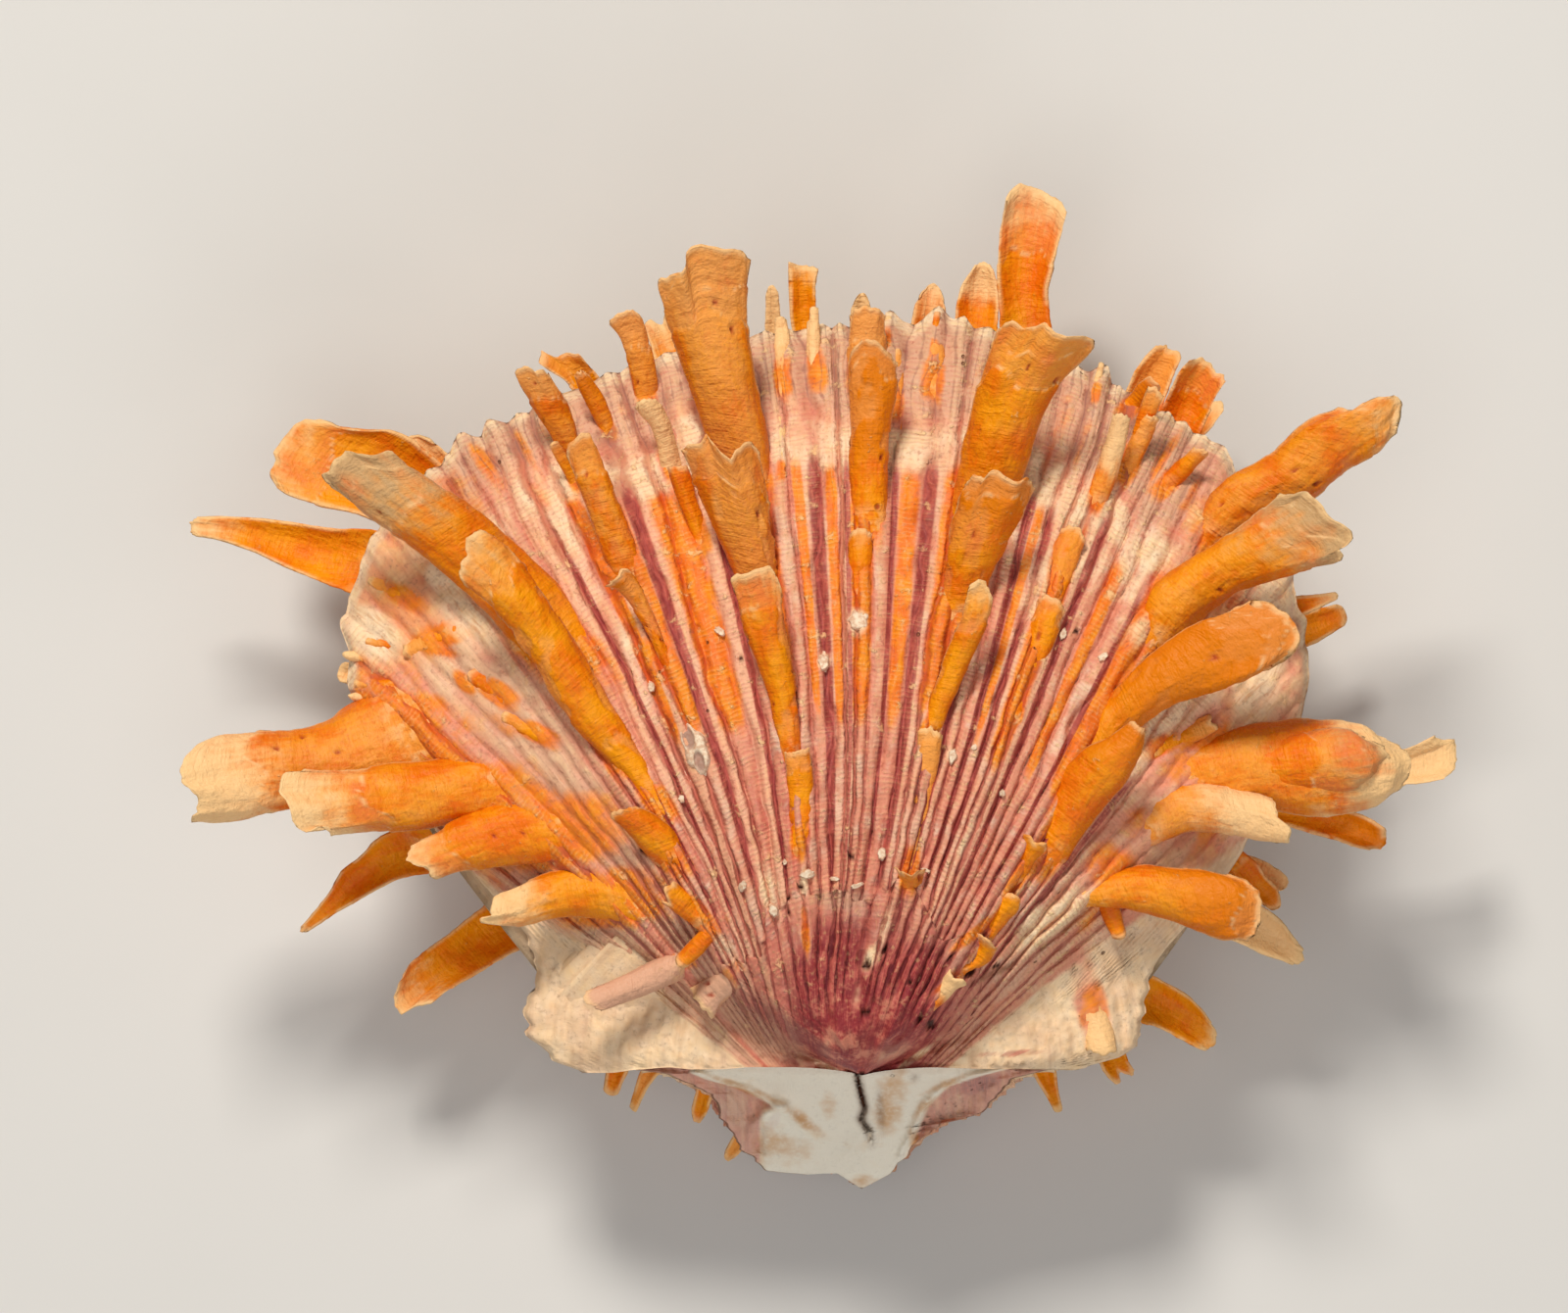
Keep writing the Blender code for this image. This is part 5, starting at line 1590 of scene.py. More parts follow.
    def marks(self, at: Places, hollow: np.ndarray) -> dict[str, np.ndarray]:
        """The numbers that colour the valve.

        Args:
            at: The places.
            hollow: How far each of them lies in a pit.

        Returns:
            One number a point for each mark.
        """
        angle, share, distance, x, y = at.angle, at.share, at.distance, at.x, at.y
        ribbed = self.ribbed(angle, distance)
        fan = self.fan(angle)
        drift = share + 0.026 * grain(23, angle * 0.22, share * 3) + 0.0009 * angle
        drift = drift + 0.03 * (luck_of(np.round(at.count), 24) - 0.5)
        ember = stripes(angle, self.ember_bands) * window(0.47, 0.83, 0.05, drift)
        ember = ember + 0.35 * stripes(angle, self.ember_bands) * window(0.9, 0.98, 0.04, drift)
        wine = stripes(angle, self.wine_bands) * window(0.25, 0.83, 0.04, drift)
        wine = wine + 0.3 * stripes(angle, self.wine_bands) * window(0.85, 0.99, 0.04, drift)
        band = window(0.81, 0.876, 0.018, drift) * window(-44, 44, 5, angle)
        band = np.maximum(band, window(0.74, 0.87, 0.03, drift) * window(17, 44, 4, angle) * 0.6)
        band = band * (0.75 + 0.3 * grain(29, angle * 0.35, share * 9))
        flank = np.maximum(fall(-54, -47, angle), smooth(36, 42, angle))
        flank = np.maximum(flank, window(-48, -38.5, 2, angle))
        pale = np.maximum(band, 0.5 * flank * smooth(0.25, 0.5, share))
        pale = np.maximum(pale, 1 - fan)
        mauve = smooth(0.86, 0.92, drift) * fan * (1 - 0.75 * smooth(26, 38, np.abs(angle + 2)))
        pale = np.maximum(pale, 0.8 * smooth(0.965, 0.995, share))
        sides = smooth(26, 34, np.abs(angle + 2)) * window(0.8, 0.97, 0.04, drift)
        ember = np.maximum(ember, 0.62 * sides)
        pale = np.maximum(pale, 0.5 * sides * (0.5 + 0.5 * grain(25, angle * 0.6, share * 12)))
        faded = 0.75 - 0.35 * smooth(20, 40, angle)
        mauve = np.maximum(mauve, faded * flank * (1 - 0.35 * smooth(0.5, 0.9, share)))
        blush = fall(0.34, 0.66, share)
        young = fall(0.12, 0.27, share + 0.05 * grain(37, angle * 0.12, share * 7))
        young = young * (0.45 + 0.55 * window(-17, 46, 5, angle))
        wine = np.maximum(wine, 0.9 * young * window(-50, 48, 6, angle))
        # Mauve along the hinge edge of the ears: the shell's own mauve and painted shade where the
        # valves meet.
        hinge = smooth(86.0, 90.5, np.abs(angle)) * (0.6 + 0.4 * grain(49, x * 0.4, y * 0.4))
        mauve = np.maximum(mauve, hinge)
        mound = self.mounds(x, y)[1]
        lit = mound * smooth(9, 24, distance) * (1 - 0.6 * smooth(42, 48, angle))
        made = valve_marks(
            x, rib=at.count, reach=distance, ember=np.maximum(ember, lit), wine=wine,
            pale=pale * (1 - 0.8 * mound), mauve=mauve, blush=blush * fan, young=young * fan,
            pit=hollow * smooth(0.2, 0.9, hollow), ribbed=ribbed,
            umbo=fan * fall(5, 11, distance),
        )
        for dab in self.dabs:
            cover = dab.cover(x, y)
            made[dab.mark] = np.maximum(made[dab.mark], cover)
            if dab.mark == "ember":
                made["pale"] = made["pale"] * (1 - 0.7 * cover)
            if dab.mark in ("ember", "pale"):
                for red in ("wine", "young", "blush"):
                    made[red] = made[red] * (1 - 0.9 * cover)
        return made

    def build(self, finish: bpy.types.Material) -> bpy.types.Object:
        """Builds the closed valve: outside, rim and the hollow underneath.

        Args:
            finish: The material of the whole valve.

        Returns:
            The piece.
        """
        steps = np.arange((len(CRESTS) - 1) * self.columns_per_riblet + 1)
        fan = np.interp(steps / self.columns_per_riblet, np.arange(len(CRESTS)), CRESTS)
        left = np.linspace(-HINGE_ANGLE, FAN_LEFT, self.ear_columns + 1)[:-1]
        right = np.linspace(FAN_RIGHT, HINGE_ANGLE, self.ear_columns + 1)[1:]
        angles = np.concatenate((left, fan, right))
        stop = self.first_stop + np.array([-1e-4, 1e-4])
        shares = np.sort(np.append(np.linspace(0, 1, self.rows + 1) ** 0.92, stop))
        angle, share = np.meshgrid(angles, shares)
        early = share < self.first_stop
        halt = bell(share - self.first_stop, 0.018)
        sway = 0.024 * grain(6, angle * 0.09) + 0.009 * grain(8, angle * 0.5)
        share = share + sway * bell(share - self.first_stop, 0.08)
        tooth = sum(
            length * bell(angle - middle, half)
            for middle, length, half in self.teeth
        )
        count = self.riblet(angle, np.ones_like(angle), early=False)
        distance = share * self.outline(angle)
        ribbed = self.ribbed(angle, self.outline(angle))
        scallop = 0.3 * (1 - 4 * np.abs(count - np.round(count))) * ribbed
        ragged = 0.35 * grain(31, angle * 0.8) * (1 - ribbed)
        distance = distance + (tooth + scallop + ragged) * smooth(0.88, 1.0, share)
        x, y = on_fan(angle, distance)
        rib_angle = self.rib_angle(x, y)
        count = self.riblet(rib_angle, share, early)
        at = Places(rib_angle, share, distance, x, y, count, halt)
        relief, hollow = self.relief(at)
        fade = smooth(0.0, 0.02, share) * (1 - 0.7 * smooth(0.97, 1.0, share))
        hinge = smooth(0.0, 2.5, HINGE_ANGLE - np.abs(angle))
        body = self.body_height(angle, share, distance, rib_angle)
        z = COMMISSURE + body + relief * fade * hinge
        z = z - self.margin_drop * smooth(0.975, 1.0, share) ** 2
        overhang = self.beak_overhang * np.exp(-distance / self.beak_overhang_reach)
        wavy = 0.22 * grain(39, x * 0.35) * smooth(80, 90, np.abs(angle))
        wavy = wavy * smooth(6, 12, distance)
        points = np.stack((x, y - overhang + wavy, z), axis=-1)
        marks = self.marks(at, hollow)

        sheet = Sheet()
        index = grid_index(sheet.add(points, marks), *angle.shape)
        index[0] = index[0, 0]
        sheet.weave(index)
        ring = np.concatenate((index[:0:-1, 0], index[0, :1], index[1:, -1], index[-1, -2:0:-1]))
        plain = {name: value.reshape(-1)[ring] for name, value in marks.items()}
        plain["pale"] = np.maximum(plain["pale"], 0.6)
        sheet.hollow_out(ring, plain, COMMISSURE + HALF_GAP, self.hollow)
        return sheet.piece("upper_valve_shell", finish)


@dataclass
class LowerValve:
    """The deeper lower valve, whose beak and cardinal area reach out behind the hinge.

    The edges run from the beak to the hinge. They, the folds, the furrow and the flap
    are lines on the cardinal area as seen from above.
    """

    beak: Pair = (0.0, -13.4)
    cardinal_slope: float = 0.95
    bowl_depth: float = 21.5
    bowl_flatness: float = 0.75
    side_rise: float = 0.15
    side_angle: float = 45.0
    side_power: float = 1.5
    beak_side_start: float = 46.0
    beak_side_power: float = 1.4
    bowl_middle: Triple = (-1.0, 30.0, COMMISSURE + 6.0)
    rib_height: float = 0.5
    rib_pitch: float = 5.58
    fine_rib_pitch: float = 1.86
    columns: int = 396
    rows: int = 96
    across: int = 120
    hollow: Table = ((0.05, 0.0), (0.1, -2.5), (0.3, -9.0), (0.62, -13.5), (0.97, -14.5))
    margin: Table = (
        (-92, 29), (-87, 32), (-78, 33), (-68, 34), (-62, 44), (-56, 59),
        (-50, 68), (-40, 73.5), (-22, 74), (0, 74.5), (9, 75.5), (18, 73.5),
        (30, 72.5), (37, 68.5), (43, 63.5), (48, 59), (51, 55.5), (54, 49.5), (57, 45),
        (60, 41), (64, 34.5), (69, 30), (80, 28), (92, 24),
    )
    left_edge: Table = (
        (0, -13.4), (-2.6, -11.7), (-6, -11.9), (-9.8, -11.4), (-13.2, -8),
        (-15.1, -3.6), (-20, -1.3), (-29.5, 0),
    )
    right_edge: Table = (
        (0, -13.4), (3, -11.8), (5.3, -9), (8.2, -6.6), (12.6, -5.4),
        (15.4, -1.8), (19, -0.9), (25, 0),
    )
    left_fold: Table = ((-17.0, -1.2), (-15.4, -1.9), (-11.6, -2.9), (-9, -4.4), (-6.2, -6.6))
    right_fold: Table = (
        (15.5, -0.5), (12.0, -1.4), (8.3, -2.6), (6.3, -4.6), (5.2, -7.4), (4, -10),
    )
    furrow: Table = (
        (-0.6, -0.9), (-0.3, -2.6), (0.3, -4.9), (-0.1, -6.0), (0.7, -7.2), (1.0, -8.6),
    )
    flap: Table = ((-7.9, -4.6), (-9.6, -5.2), (-11.2, -6.6), (-11.7, -8.8))
    dabs: tuple[Dab, ...] = (
        Dab("ember", (-3.4, -4.5), 3.4, 2.2, 0, 0.5),
        Dab("ember", (-5.8, -6.4), 6.0, 1.6, -52, 0.8),
        Dab("ember", (-7.4, -9.6), 7.0, 4.0, 80, 0.5), Dab("ember", (0.2, -12.9), 2.4, 4.0, 0, 0.6),
        Dab("ember", (5.4, -8.4), 4.0, 1.6, -10, 0.7), Dab("ember", (6.4, -4.6), 3.6, 1.2, 40, 0.8),
        Dab("ember", (-12.0, -2.9), 9.0, 1.1, -68, 0.7),
        Dab("ember", (8.6, -2.4), 6.0, 0.9, 66, 0.7), Dab("wine", (-9.2, -6.4), 2.8, 1.4, 40, 0.8),
        Dab("wine", (12.0, -2.4), 6.0, 2.2, 75, 0.9),
        Dab("mauve", (-13.4, -4.6), 6.0, 3.4, -20, 0.9),
        Dab("mauve", (8.6, -6.4), 5.0, 3.0, 50, 0.6), Dab("stain", (1.9, -5.2), 4.6, 0.9, -4, 0.45),
        Dab("ember", (2.9, -4.2), 8.5, 3.6, 14, 0.7), Dab("ember", (-9.0, -8.6), 5.0, 4.0, 0, 0.6),
        Dab("ember", (4.2, -2.4), 4.0, 2.0, 70, 0.35),
        # A mauve strip just behind the hinge: the shell's own mauve and painted shadow of the upper
        # valve's edge.
        Dab("mauve", (0.0, -0.8), 30.0, 1.6, 90, 0.6),
    )

    def beak_edges(self, share: np.ndarray) -> list[np.ndarray]:
        """Points of both ragged edges of the cardinal area, from the beak to the hinge.

        Args:
            share: Shares of the way from the beak to the hinge.

        Returns:
            The points of the left edge and those of the right one.
        """
        ragged = 0.45 * grain(59, share * 26) + 0.3 * grain(63, share * 60)
        ragged = ragged * smooth(0.1, 0.2, share) * fall(0.6, 0.75, share)
        shift = ragged[..., None] * np.array([1.0, 0.1])
        return [along_line(points, share) + shift for points in (self.left_edge, self.right_edge)]

    def bowl(self, angle: np.ndarray, share: np.ndarray) -> np.ndarray:
        """Points of the smooth bowl, from its beak (0) to its margin (1).

        Args:
            angle: End angles of the places, in degrees.
            share: Shares of the way from the beak to the margin.

        Returns:
            The points, with their three coordinates last.
        """
        aside = np.abs(angle) - self.beak_side_start
        side = np.clip(aside / (HINGE_ANGLE - self.beak_side_start), 0, 1)
        side = (side**self.beak_side_power)[..., None]
        margin = np.stack(on_fan(angle, blurred(self.margin, angle)), axis=-1)
        beak = np.array(self.beak)
        left, right = self.beak_edges(share)
        edge = np.where(angle[..., None] < 0, left, right)
        plan = (1 - side) * (beak + share[..., None] * (margin - beak)) + side * edge
        top = COMMISSURE - HALF_GAP
        beak_height = top + self.cardinal_slope * self.beak[1]
        hollow = np.clip(np.sin(np.pi * share), 0, 1) ** self.bowl_flatness
        shallower = self.side_rise * (np.abs(angle) / self.side_angle) ** self.side_power
        height = beak_height + share * (top - beak_height)
        height = height - self.bowl_depth * (1 - shallower) * hollow
        side = side[..., 0]
        height = (1 - side) * height + side * (top + self.cardinal_slope * edge[..., 1])
        return np.concatenate((plan, height[..., None]), axis=-1)

    def outward(self, points: np.ndarray) -> np.ndarray:
        """The direction away from the middle of the bowl at each of its points."""
        away = points - np.array(self.bowl_middle)
        return away / np.linalg.norm(away, axis=-1, keepdims=True)

    def near_line(self, points: Table, x: np.ndarray, y: np.ndarray) -> np.ndarray:
        """Plan distance of each place from a line."""
        line = along_line(points, np.linspace(0, 1, 60))
        return np.min([np.hypot(x - px, y - py) for px, py in line], axis=0)

    def bowl_marks(self, angle: np.ndarray, share: np.ndarray, points: np.ndarray) -> dict:
        """The numbers that colour the bowl.

        Args:
            angle: End angle of each column.
            share: Share of the way from the beak to the margin.
            points: The bowl's points.

        Returns:
            One number a point for each mark.
        """
        x, y, z = (points[..., k] for k in range(3))
        drift = share + 0.03 * grain(41, angle * 0.1, share * 4)
        scar = fall(0.2, 1.2, z)
        bands = tuple((middle, 1.6) for middle in np.arange(-84, 90, 12.0))
        return valve_marks(
            x, rib=angle / 2.8, reach=share * 80,
            ember=0.6 * stripes(angle, bands) * smooth(0.7, 0.9, drift),
            wine=0.4 * window(0.45, 0.62, 0.05, drift) + 0.3 * fall(0.1, 0.3, share),
            pale=np.clip(0.4 + scar + 0.6 * smooth(0.62, 0.8, drift), 0, 1),
            blush=0.45 * fall(0.4, 0.7, drift),
            stain=0.5 * scar * (rough(43, x * 0.2, y * 0.2) > 0.1),
            ribbed=(1 - scar) * (1 - 0.6 * smooth(0.7, 0.85, drift)),
        )

    def cardinal(self, sheet: Sheet, share: np.ndarray, rim: np.ndarray) -> np.ndarray:
        """Adds the sloping area behind the hinge, between the two beak edges.

        Args:
            sheet: The valve's sheet, which has the bowl already.
            share: Shares of the way along the beak edges, one for each row.
            rim: Point numbers of the bowl's first and last column, in two columns.

        Returns:
            Point numbers of the last row, on the hinge line.
        """
        part = np.linspace(0, 1, self.across + 1)[1:-1]
        left, right = self.beak_edges(share)
        plan = left[:, None] + (right - left)[:, None] * part[None, :, None]
        x, y = plan[..., 0], plan[..., 1]
        lines = (self.left_fold, self.right_fold, self.furrow, self.flap)
        left_fold, right_fold, furrow, flap = (self.near_line(line, x, y) for line in lines)
        fold = np.minimum(left_fold, right_fold)
        left_line, right_line = np.array(self.left_fold), np.array(self.right_fold)
        beyond_left = smooth(0.2, 0.9, np.interp(y, left_line[::-1, 1], left_line[::-1, 0]) - x)
        beyond_left = beyond_left * (1 - smooth(-10.8, -9.8, x) * smooth(4.4, 5.6, -y))
        beyond_right = smooth(0.2, 0.9, x - np.interp(y, right_line[::-1, 1], right_line[::-1, 0]))
        beyond = np.maximum(beyond_left * (x < -5), beyond_right)
        edge = smooth(0.0, 0.1, np.minimum(part, 1 - part))[None, :]
        edge = edge * smooth(0.0, 0.15, share)[:, None]
        slit = fall(0.05, 0.32, furrow) * smooth(-9.2, -6.0, y)
        relief = 0.9 * bell(fold, 0.45) - 1.5 * beyond
        leaves = (x * 0.9 + y * 0.35 + 0.3 * grain(45, x * 0.6, y * 0.6)) % 1.0
        relief = relief + 0.5 * beyond * leaves**2 + 1.4 * bell(flap, 0.55)
        relief = relief + 0.22 * rough(47, x * 0.5, y * 0.5) - 1.9 * slit
        relief = relief + 0.8 * bell(np.hypot(x - 0.4, y + 10.5), 3.0)
        relief = relief + 0.35 * bell(y + 1.5 - 0.02 * np.abs(x), 0.5)
        z = COMMISSURE - HALF_GAP + self.cardinal_slope * y + relief * edge
        crumbs = rough(53, x * 0.9, y * 0.9)
        brown = 0.8 * fall(0.1, 0.9, furrow)
        brown = brown + 0.6 * bell(np.hypot(x - 5.4, y + 1.7), 0.5)
        amber = 0.5 * bell(fold, 0.5)
        # The mauve that rises towards the hinge is partly the shell's own colour and partly painted
        # shadow of the upper valve.
        marks = valve_marks(
            x, rib=x * 0.9, reach=y * 2.0, ember=0.62 * amber * (1 - slit),
            wine=0.55 * beyond * (0.8 + 0.4 * crumbs), pale=1.0 - 0.75 * beyond,
            mauve=0.3 * smooth(-2.5, -0.5, y), blush=0.8 * beyond, ribbed=0.25 * beyond,
            pit=np.clip(slit * 1.1, 0, 1) * smooth(-5.6, -4.4, y),
            stain=0.75 * np.clip(brown, 0, 1), bone=0 * x + 1,
        )
        for dab in self.dabs:
            marks[dab.mark] = np.maximum(marks[dab.mark], dab.cover(x, y))
        start = sheet.add(np.stack((x, y, z), axis=-1), marks)
        index = np.concatenate((rim[:, :1], grid_index(start, *x.shape), rim[:, 1:]), axis=1)
        index[0] = rim[0, 0]
        sheet.weave(index, flip=True)
        return index[-1]

    def build(self, finish: bpy.types.Material) -> bpy.types.Object:
        """Builds the closed valve: bowl, cardinal area, rim and the hollow inside.

        Args:
            finish: The material of the whole valve.

        Returns:
            The piece.
        """
        angles = np.linspace(-HINGE_ANGLE, HINGE_ANGLE, self.columns + 1)
        shares = np.linspace(0, 1, self.rows + 1)
        angle, share = np.meshgrid(angles, shares)
        points = self.bowl(angle, share)
        inside = smooth(0, 3, HINGE_ANGLE - np.abs(angle)) * smooth(0, 0.05, share)
        inside = inside * fall(0.985, 1, share)
        ribs = self.rib_height * (np.cos(angle * math.tau / self.rib_pitch) - 1) / 2
        ribs = ribs + 0.14 * np.cos(angle * math.tau / self.fine_rib_pitch)
        growth = share * 15 + 0.5 * grain(61, angle * 0.07, share * 5)
        leaf = 0.75 * (growth % 1.0) ** 3 * (0.55 + 0.45 * grain(67, angle * 0.3, share * 15))
        lumps = 0.3 * rough(71, points[..., 0] * 0.3, points[..., 1] * 0.3, points[..., 2] * 0.3)
        points = points + self.outward(points) * ((ribs + leaf + lumps - 0.35) * inside)[..., None]
        crumbs = 0.14 + 0.14 * rough(73, points[..., 0] * 0.7, points[..., 1] * 0.7)
        lowest = np.where(inside > 0.5, np.clip(crumbs, 0, 1), 0)
        points[..., 2] = np.maximum(points[..., 2], lowest)
        sheet = Sheet()
        index = grid_index(sheet.add(points, self.bowl_marks(angle, share, points)), *angle.shape)
        index[0] = index[0, 0]
        sheet.weave(index, flip=True)
        hinge = self.cardinal(sheet, shares, np.stack((index[:, 0], index[:, -1]), axis=1))
        ring = np.concatenate((index[-1], hinge[-2:0:-1]))
        plain = valve_marks(0 * ring, pale=0 * ring + 1)
        sheet.hollow_out(ring, plain, COMMISSURE - HALF_GAP, self.hollow)
        return sheet.piece("lower_valve_shell", finish)

    def height_near(self, x: float, y: float) -> float:
        """Height of the bowl's outside at a plan position.

        Args:
            x: Plan position along the hinge, in millimetres.
            y: Plan position from the hinge to the far margin.

        Returns:
            The height, in millimetres.
        """
        angles, shares = np.linspace(-HINGE_ANGLE, HINGE_ANGLE, 61), np.linspace(0.3, 1, 36)
        angle, share = np.meshgrid(angles, shares)
        points = self.bowl(angle, share).reshape(-1, 3)
        return float(points[np.argmin(np.hypot(points[:, 0] - x, points[:, 1] - y)), 2])


@dataclass
class SpineGrower:
    """Grows spines as thin gutters with rings, ridges and flaking layers."""

    upper: UpperValve
    lower: LowerValve
    opens_up: bool
    root_sink: float = 0.34
    curl: float = 0.16
    root_angle: float = 98.0
    rod_angle: float = 110.0
    root_cover: float = 1.5
    root_slant: float = 0.25
    root_lift: float = 0.8
    hinge_strip: float = 4.5
    lead_in: float = 0.9
    lead_width: float = 6.5
    side_smoothing: int = 10
    broad_tip: float = 3.4
    pitted_tip: float = 2.5
    row_pitch: float = 0.32
    column_pitch: float = 0.2
    ring_pitch: float = 1.5
    ridge_pitch: float = 1.4
    rows: tuple[int, int] = (18, 96)
    columns: tuple[int, int] = (16, 44)
    thickness: float = 0.62
    layer_step: float = 0.2
    flake_depth: float = 0.18
    pit_depth: float = 0.35
    lowest: float = 0.4
    seed_step: int = 17

    def root_height(self, spine: Spine) -> float:
        """Height of the spine's middle line where it leaves the valve.

        Args:
            spine: The spine.

        Returns:
            The height, in millimetres.
        """
        x, y = spine.root
        sink = self.root_sink * spine.root_width
        if not self.opens_up:
            return float(self.upper.height_at(np.array([x]), np.array([y]))[0]) - sink
        if y < self.hinge_strip:
            slope = self.lower.cardinal_slope
            return COMMISSURE + slope * min(0.0, y) - self.root_cover - sink
        ceiling = COMMISSURE - self.root_cover - self.root_slant * spine.root_width
        return min(ceiling, self.lower.height_near(x, y) + sink + self.root_lift)

    def middle_height(self, spine: Spine, share: np.ndarray, plan: np.ndarray) -> np.ndarray:
        """Height of the middle line, which lifts off towards its tip and dives at its root.

        Args:
            spine: The spine.
            share: Share of the way from root to tip, under 0 below the root.
            plan: The line as seen from above.

        Returns:
            Its heights.
        """
        root, tip = self.root_height(spine), COMMISSURE + spine.height
        part = np.clip(share, 0, 1)
        height = root + share * (tip - root) - self.curl * spine.reach * part * (1 - part)
        if not self.opens_up:
            ground = self.upper.height_at(plan[:, 0], plan[:, 1])
            sunk = ground - self.root_sink * spine.root_width
            if spine.lying:
                return sunk + spine.height * part**2
            height = np.where(share < 0, sunk, height)
        buried = np.clip(-share, 0, None) * spine.reach
        return height - buried**2 * 0.22 / spine.root_width - buried * 0.12

    def sides(self, spine: Spine, share: np.ndarray, seed: int) -> tuple[np.ndarray, np.ndarray]:
        """Both sides of the spine as seen from above.

        Args:
            spine: The spine.
            share: Share of the way from root to tip, under 0 below the root.
            seed: Makes its width its own.

        Returns:
            The points of the left and of the right side.
        """
        part = np.clip(share, 0, 1)
        if spine.edge:
            lines = (spine.left, spine.right)
            left, right = (along_line(line, part, self.side_smoothing) for line in lines)
            near_root = np.array([0.0, 0.25])
            first = [along_line(line, near_root, self.side_smoothing) for line in lines]
            start, further = np.mean(first, axis=0)
            ahead = (further - start) / np.linalg.norm(further - start)
        else:
            root, tip = np.array(spine.root), np.array(spine.tip)
            ahead = (tip - root) / spine.reach
            across = np.array([ahead[1], -ahead[0]])
            middle = root + part[:, None] * (tip - root)
            sway = spine.bend * spine.reach * np.sin(np.pi * part)
            sway = sway + 0.045 * spine.tip_width * grain(seed + 9, share * 4)
            width = spine.root_width + part * (spine.tip_width - spine.root_width)
            waist = 1 - 0.22 * fall(0.0, 0.6, part) * (spine.foot == 0)
            width = width * waist * (1 + spine.flare * smooth(0.65, 1, share))
            width = width * (1 + 0.07 * grain(seed + 2, share * 4))
            left = middle + across * (sway - width / 2)[:, None]
            right = middle + across * (sway + width / 2)[:, None]
        before = np.clip(share, None, 0)[:, None]
        middle = (left + right) / 2
        narrow = 1 - 0.25 * np.clip(-before * 3, 0, 1)
        shift = before * spine.reach * ahead
        left, right = (middle + (side - middle) * narrow + shift for side in (left, right))
        return left, right

    def edge_of_tip(self, spine: Spine, across: np.ndarray, seed: int) -> np.ndarray:
        """How far each lengthwise line of the spine reaches, as a share of its length.

        Args:
            spine: The spine.
            across: Place of each line, from -1 at the left to 1 at the right.
            seed: Seed of its noise.

        Returns:
            The shares.
        """
        uneven = spine.tip_width / spine.reach
        lobes = 0.5 + 0.5 * grain(seed, across * 1.6 + 5)
        nicks = 0.5 + 0.5 * grain(seed + 1, across * 5.0)
        cut = {
            TipForm.RAGGED: 0.5 * lobes + 0.14 * nicks + 0.12 * across**4,
            TipForm.ROUNDED: 0.42 * np.abs(across) ** 2.4 + 0.12 * lobes + 0.05 * nicks,
            TipForm.CUT: 0.14 * lobes + 0.07 * nicks + 0.1 * across,
            TipForm.POINTED: 0.3 * np.abs(across) ** 2 + 0.1 * lobes,
        }[spine.form]
        return 1 - (cut - cut.min()) * uneven * (not spine.edge)

    def pull(self, spine: Spine, across: np.ndarray, half: float, seed: int) -> np.ndarray:
        """How far each lengthwise line is pulled over at the tip to meet the spine's edge.

        Args:
            spine: The spine.
            across: The lines, from -1 on the left side to 1 on the right.
            half: Half of the arc that the spine spans at its tip, in radians.
            seed: Makes the small nicks its own.

        Returns:
            A plan offset for each line.
        """
        if not spine.edge:
            return np.zeros((len(across), 2))
        sideways = np.sin(half * across) / math.sin(min(half, math.pi / 2))
        left, right = (np.array(line[-1]) for line in (spine.left, spine.right))
        straight = (left + right) / 2 + sideways[:, None] * (right - left) / 2
        ahead = (np.array(spine.tip) - np.array(spine.root)) / spine.reach
        nicks = 0.16 * grain(seed + 1, across * 9.0)[:, None] * ahead
        return along_line(spine.edge, (sideways + 1) / 2) + nicks - straight

    def pits(self, run: np.ndarray, arc: np.ndarray, spine: Spine, seed: int) -> np.ndarray:
        """How far each place lies in one of the spine's few borer holes.

        Args:
            run: Distances from the root along the spine, in millimetres.
            arc: Distances from its middle line around its back.
            spine: The spine.
            seed: Seed of its noise.

        Returns:
            The depth in the holes, from 0 to 1.
        """
        cover = np.zeros_like(run)
        draws = lottery(np.array([[seed, k] for k in range(9)]), 13)
        for number in range(int(3.4 * draws[8]) * (spine.tip_width > self.pitted_tip)):
            far = (0.2 + 0.7 * draws[2 * number]) * spine.reach
            aside = (draws[2 * number + 1] - 0.5) * spine.tip_width
            size = 0.2 + 0.14 * draws[2 * number + 1]
            hole = fall(0.6 * size, 1.2 * size, np.hypot(run - far, arc - aside))
            cover = np.maximum(cover, hole)
        return cover

    def layered(self, spine: Spine, to_go: np.ndarray, spread: np.ndarray, seed: int) -> np.ndarray:
        """How many growth layers end between each place and the root.

        Args:
            spine: The spine.
            to_go: Distance to the edge of the tip.
            spread: Place across the spine, from -1 to 1.
            seed: Makes the edges of the layers their own.

        Returns:
            The number, with a short slope at the end of each layer.
        """
        chance = 0.35 + 0.6 * float(luck_of(seed, 3))
        broad = spine.tip_width > self.broad_tip
        count = np.zeros_like(to_go)
        for number, place in enumerate(spine.layers or (chance * spine.tip_width,) * broad):
            ragged = grain(seed + 7 + 20 * number, spread * 2.2)
            fine = grain(seed + 8 + 20 * number, spread * 7.0)
            end = place + 0.16 * spine.tip_width * ragged + 0.12 * fine
            count = count + smooth(-0.12, 0.12, end - to_go)
        return count

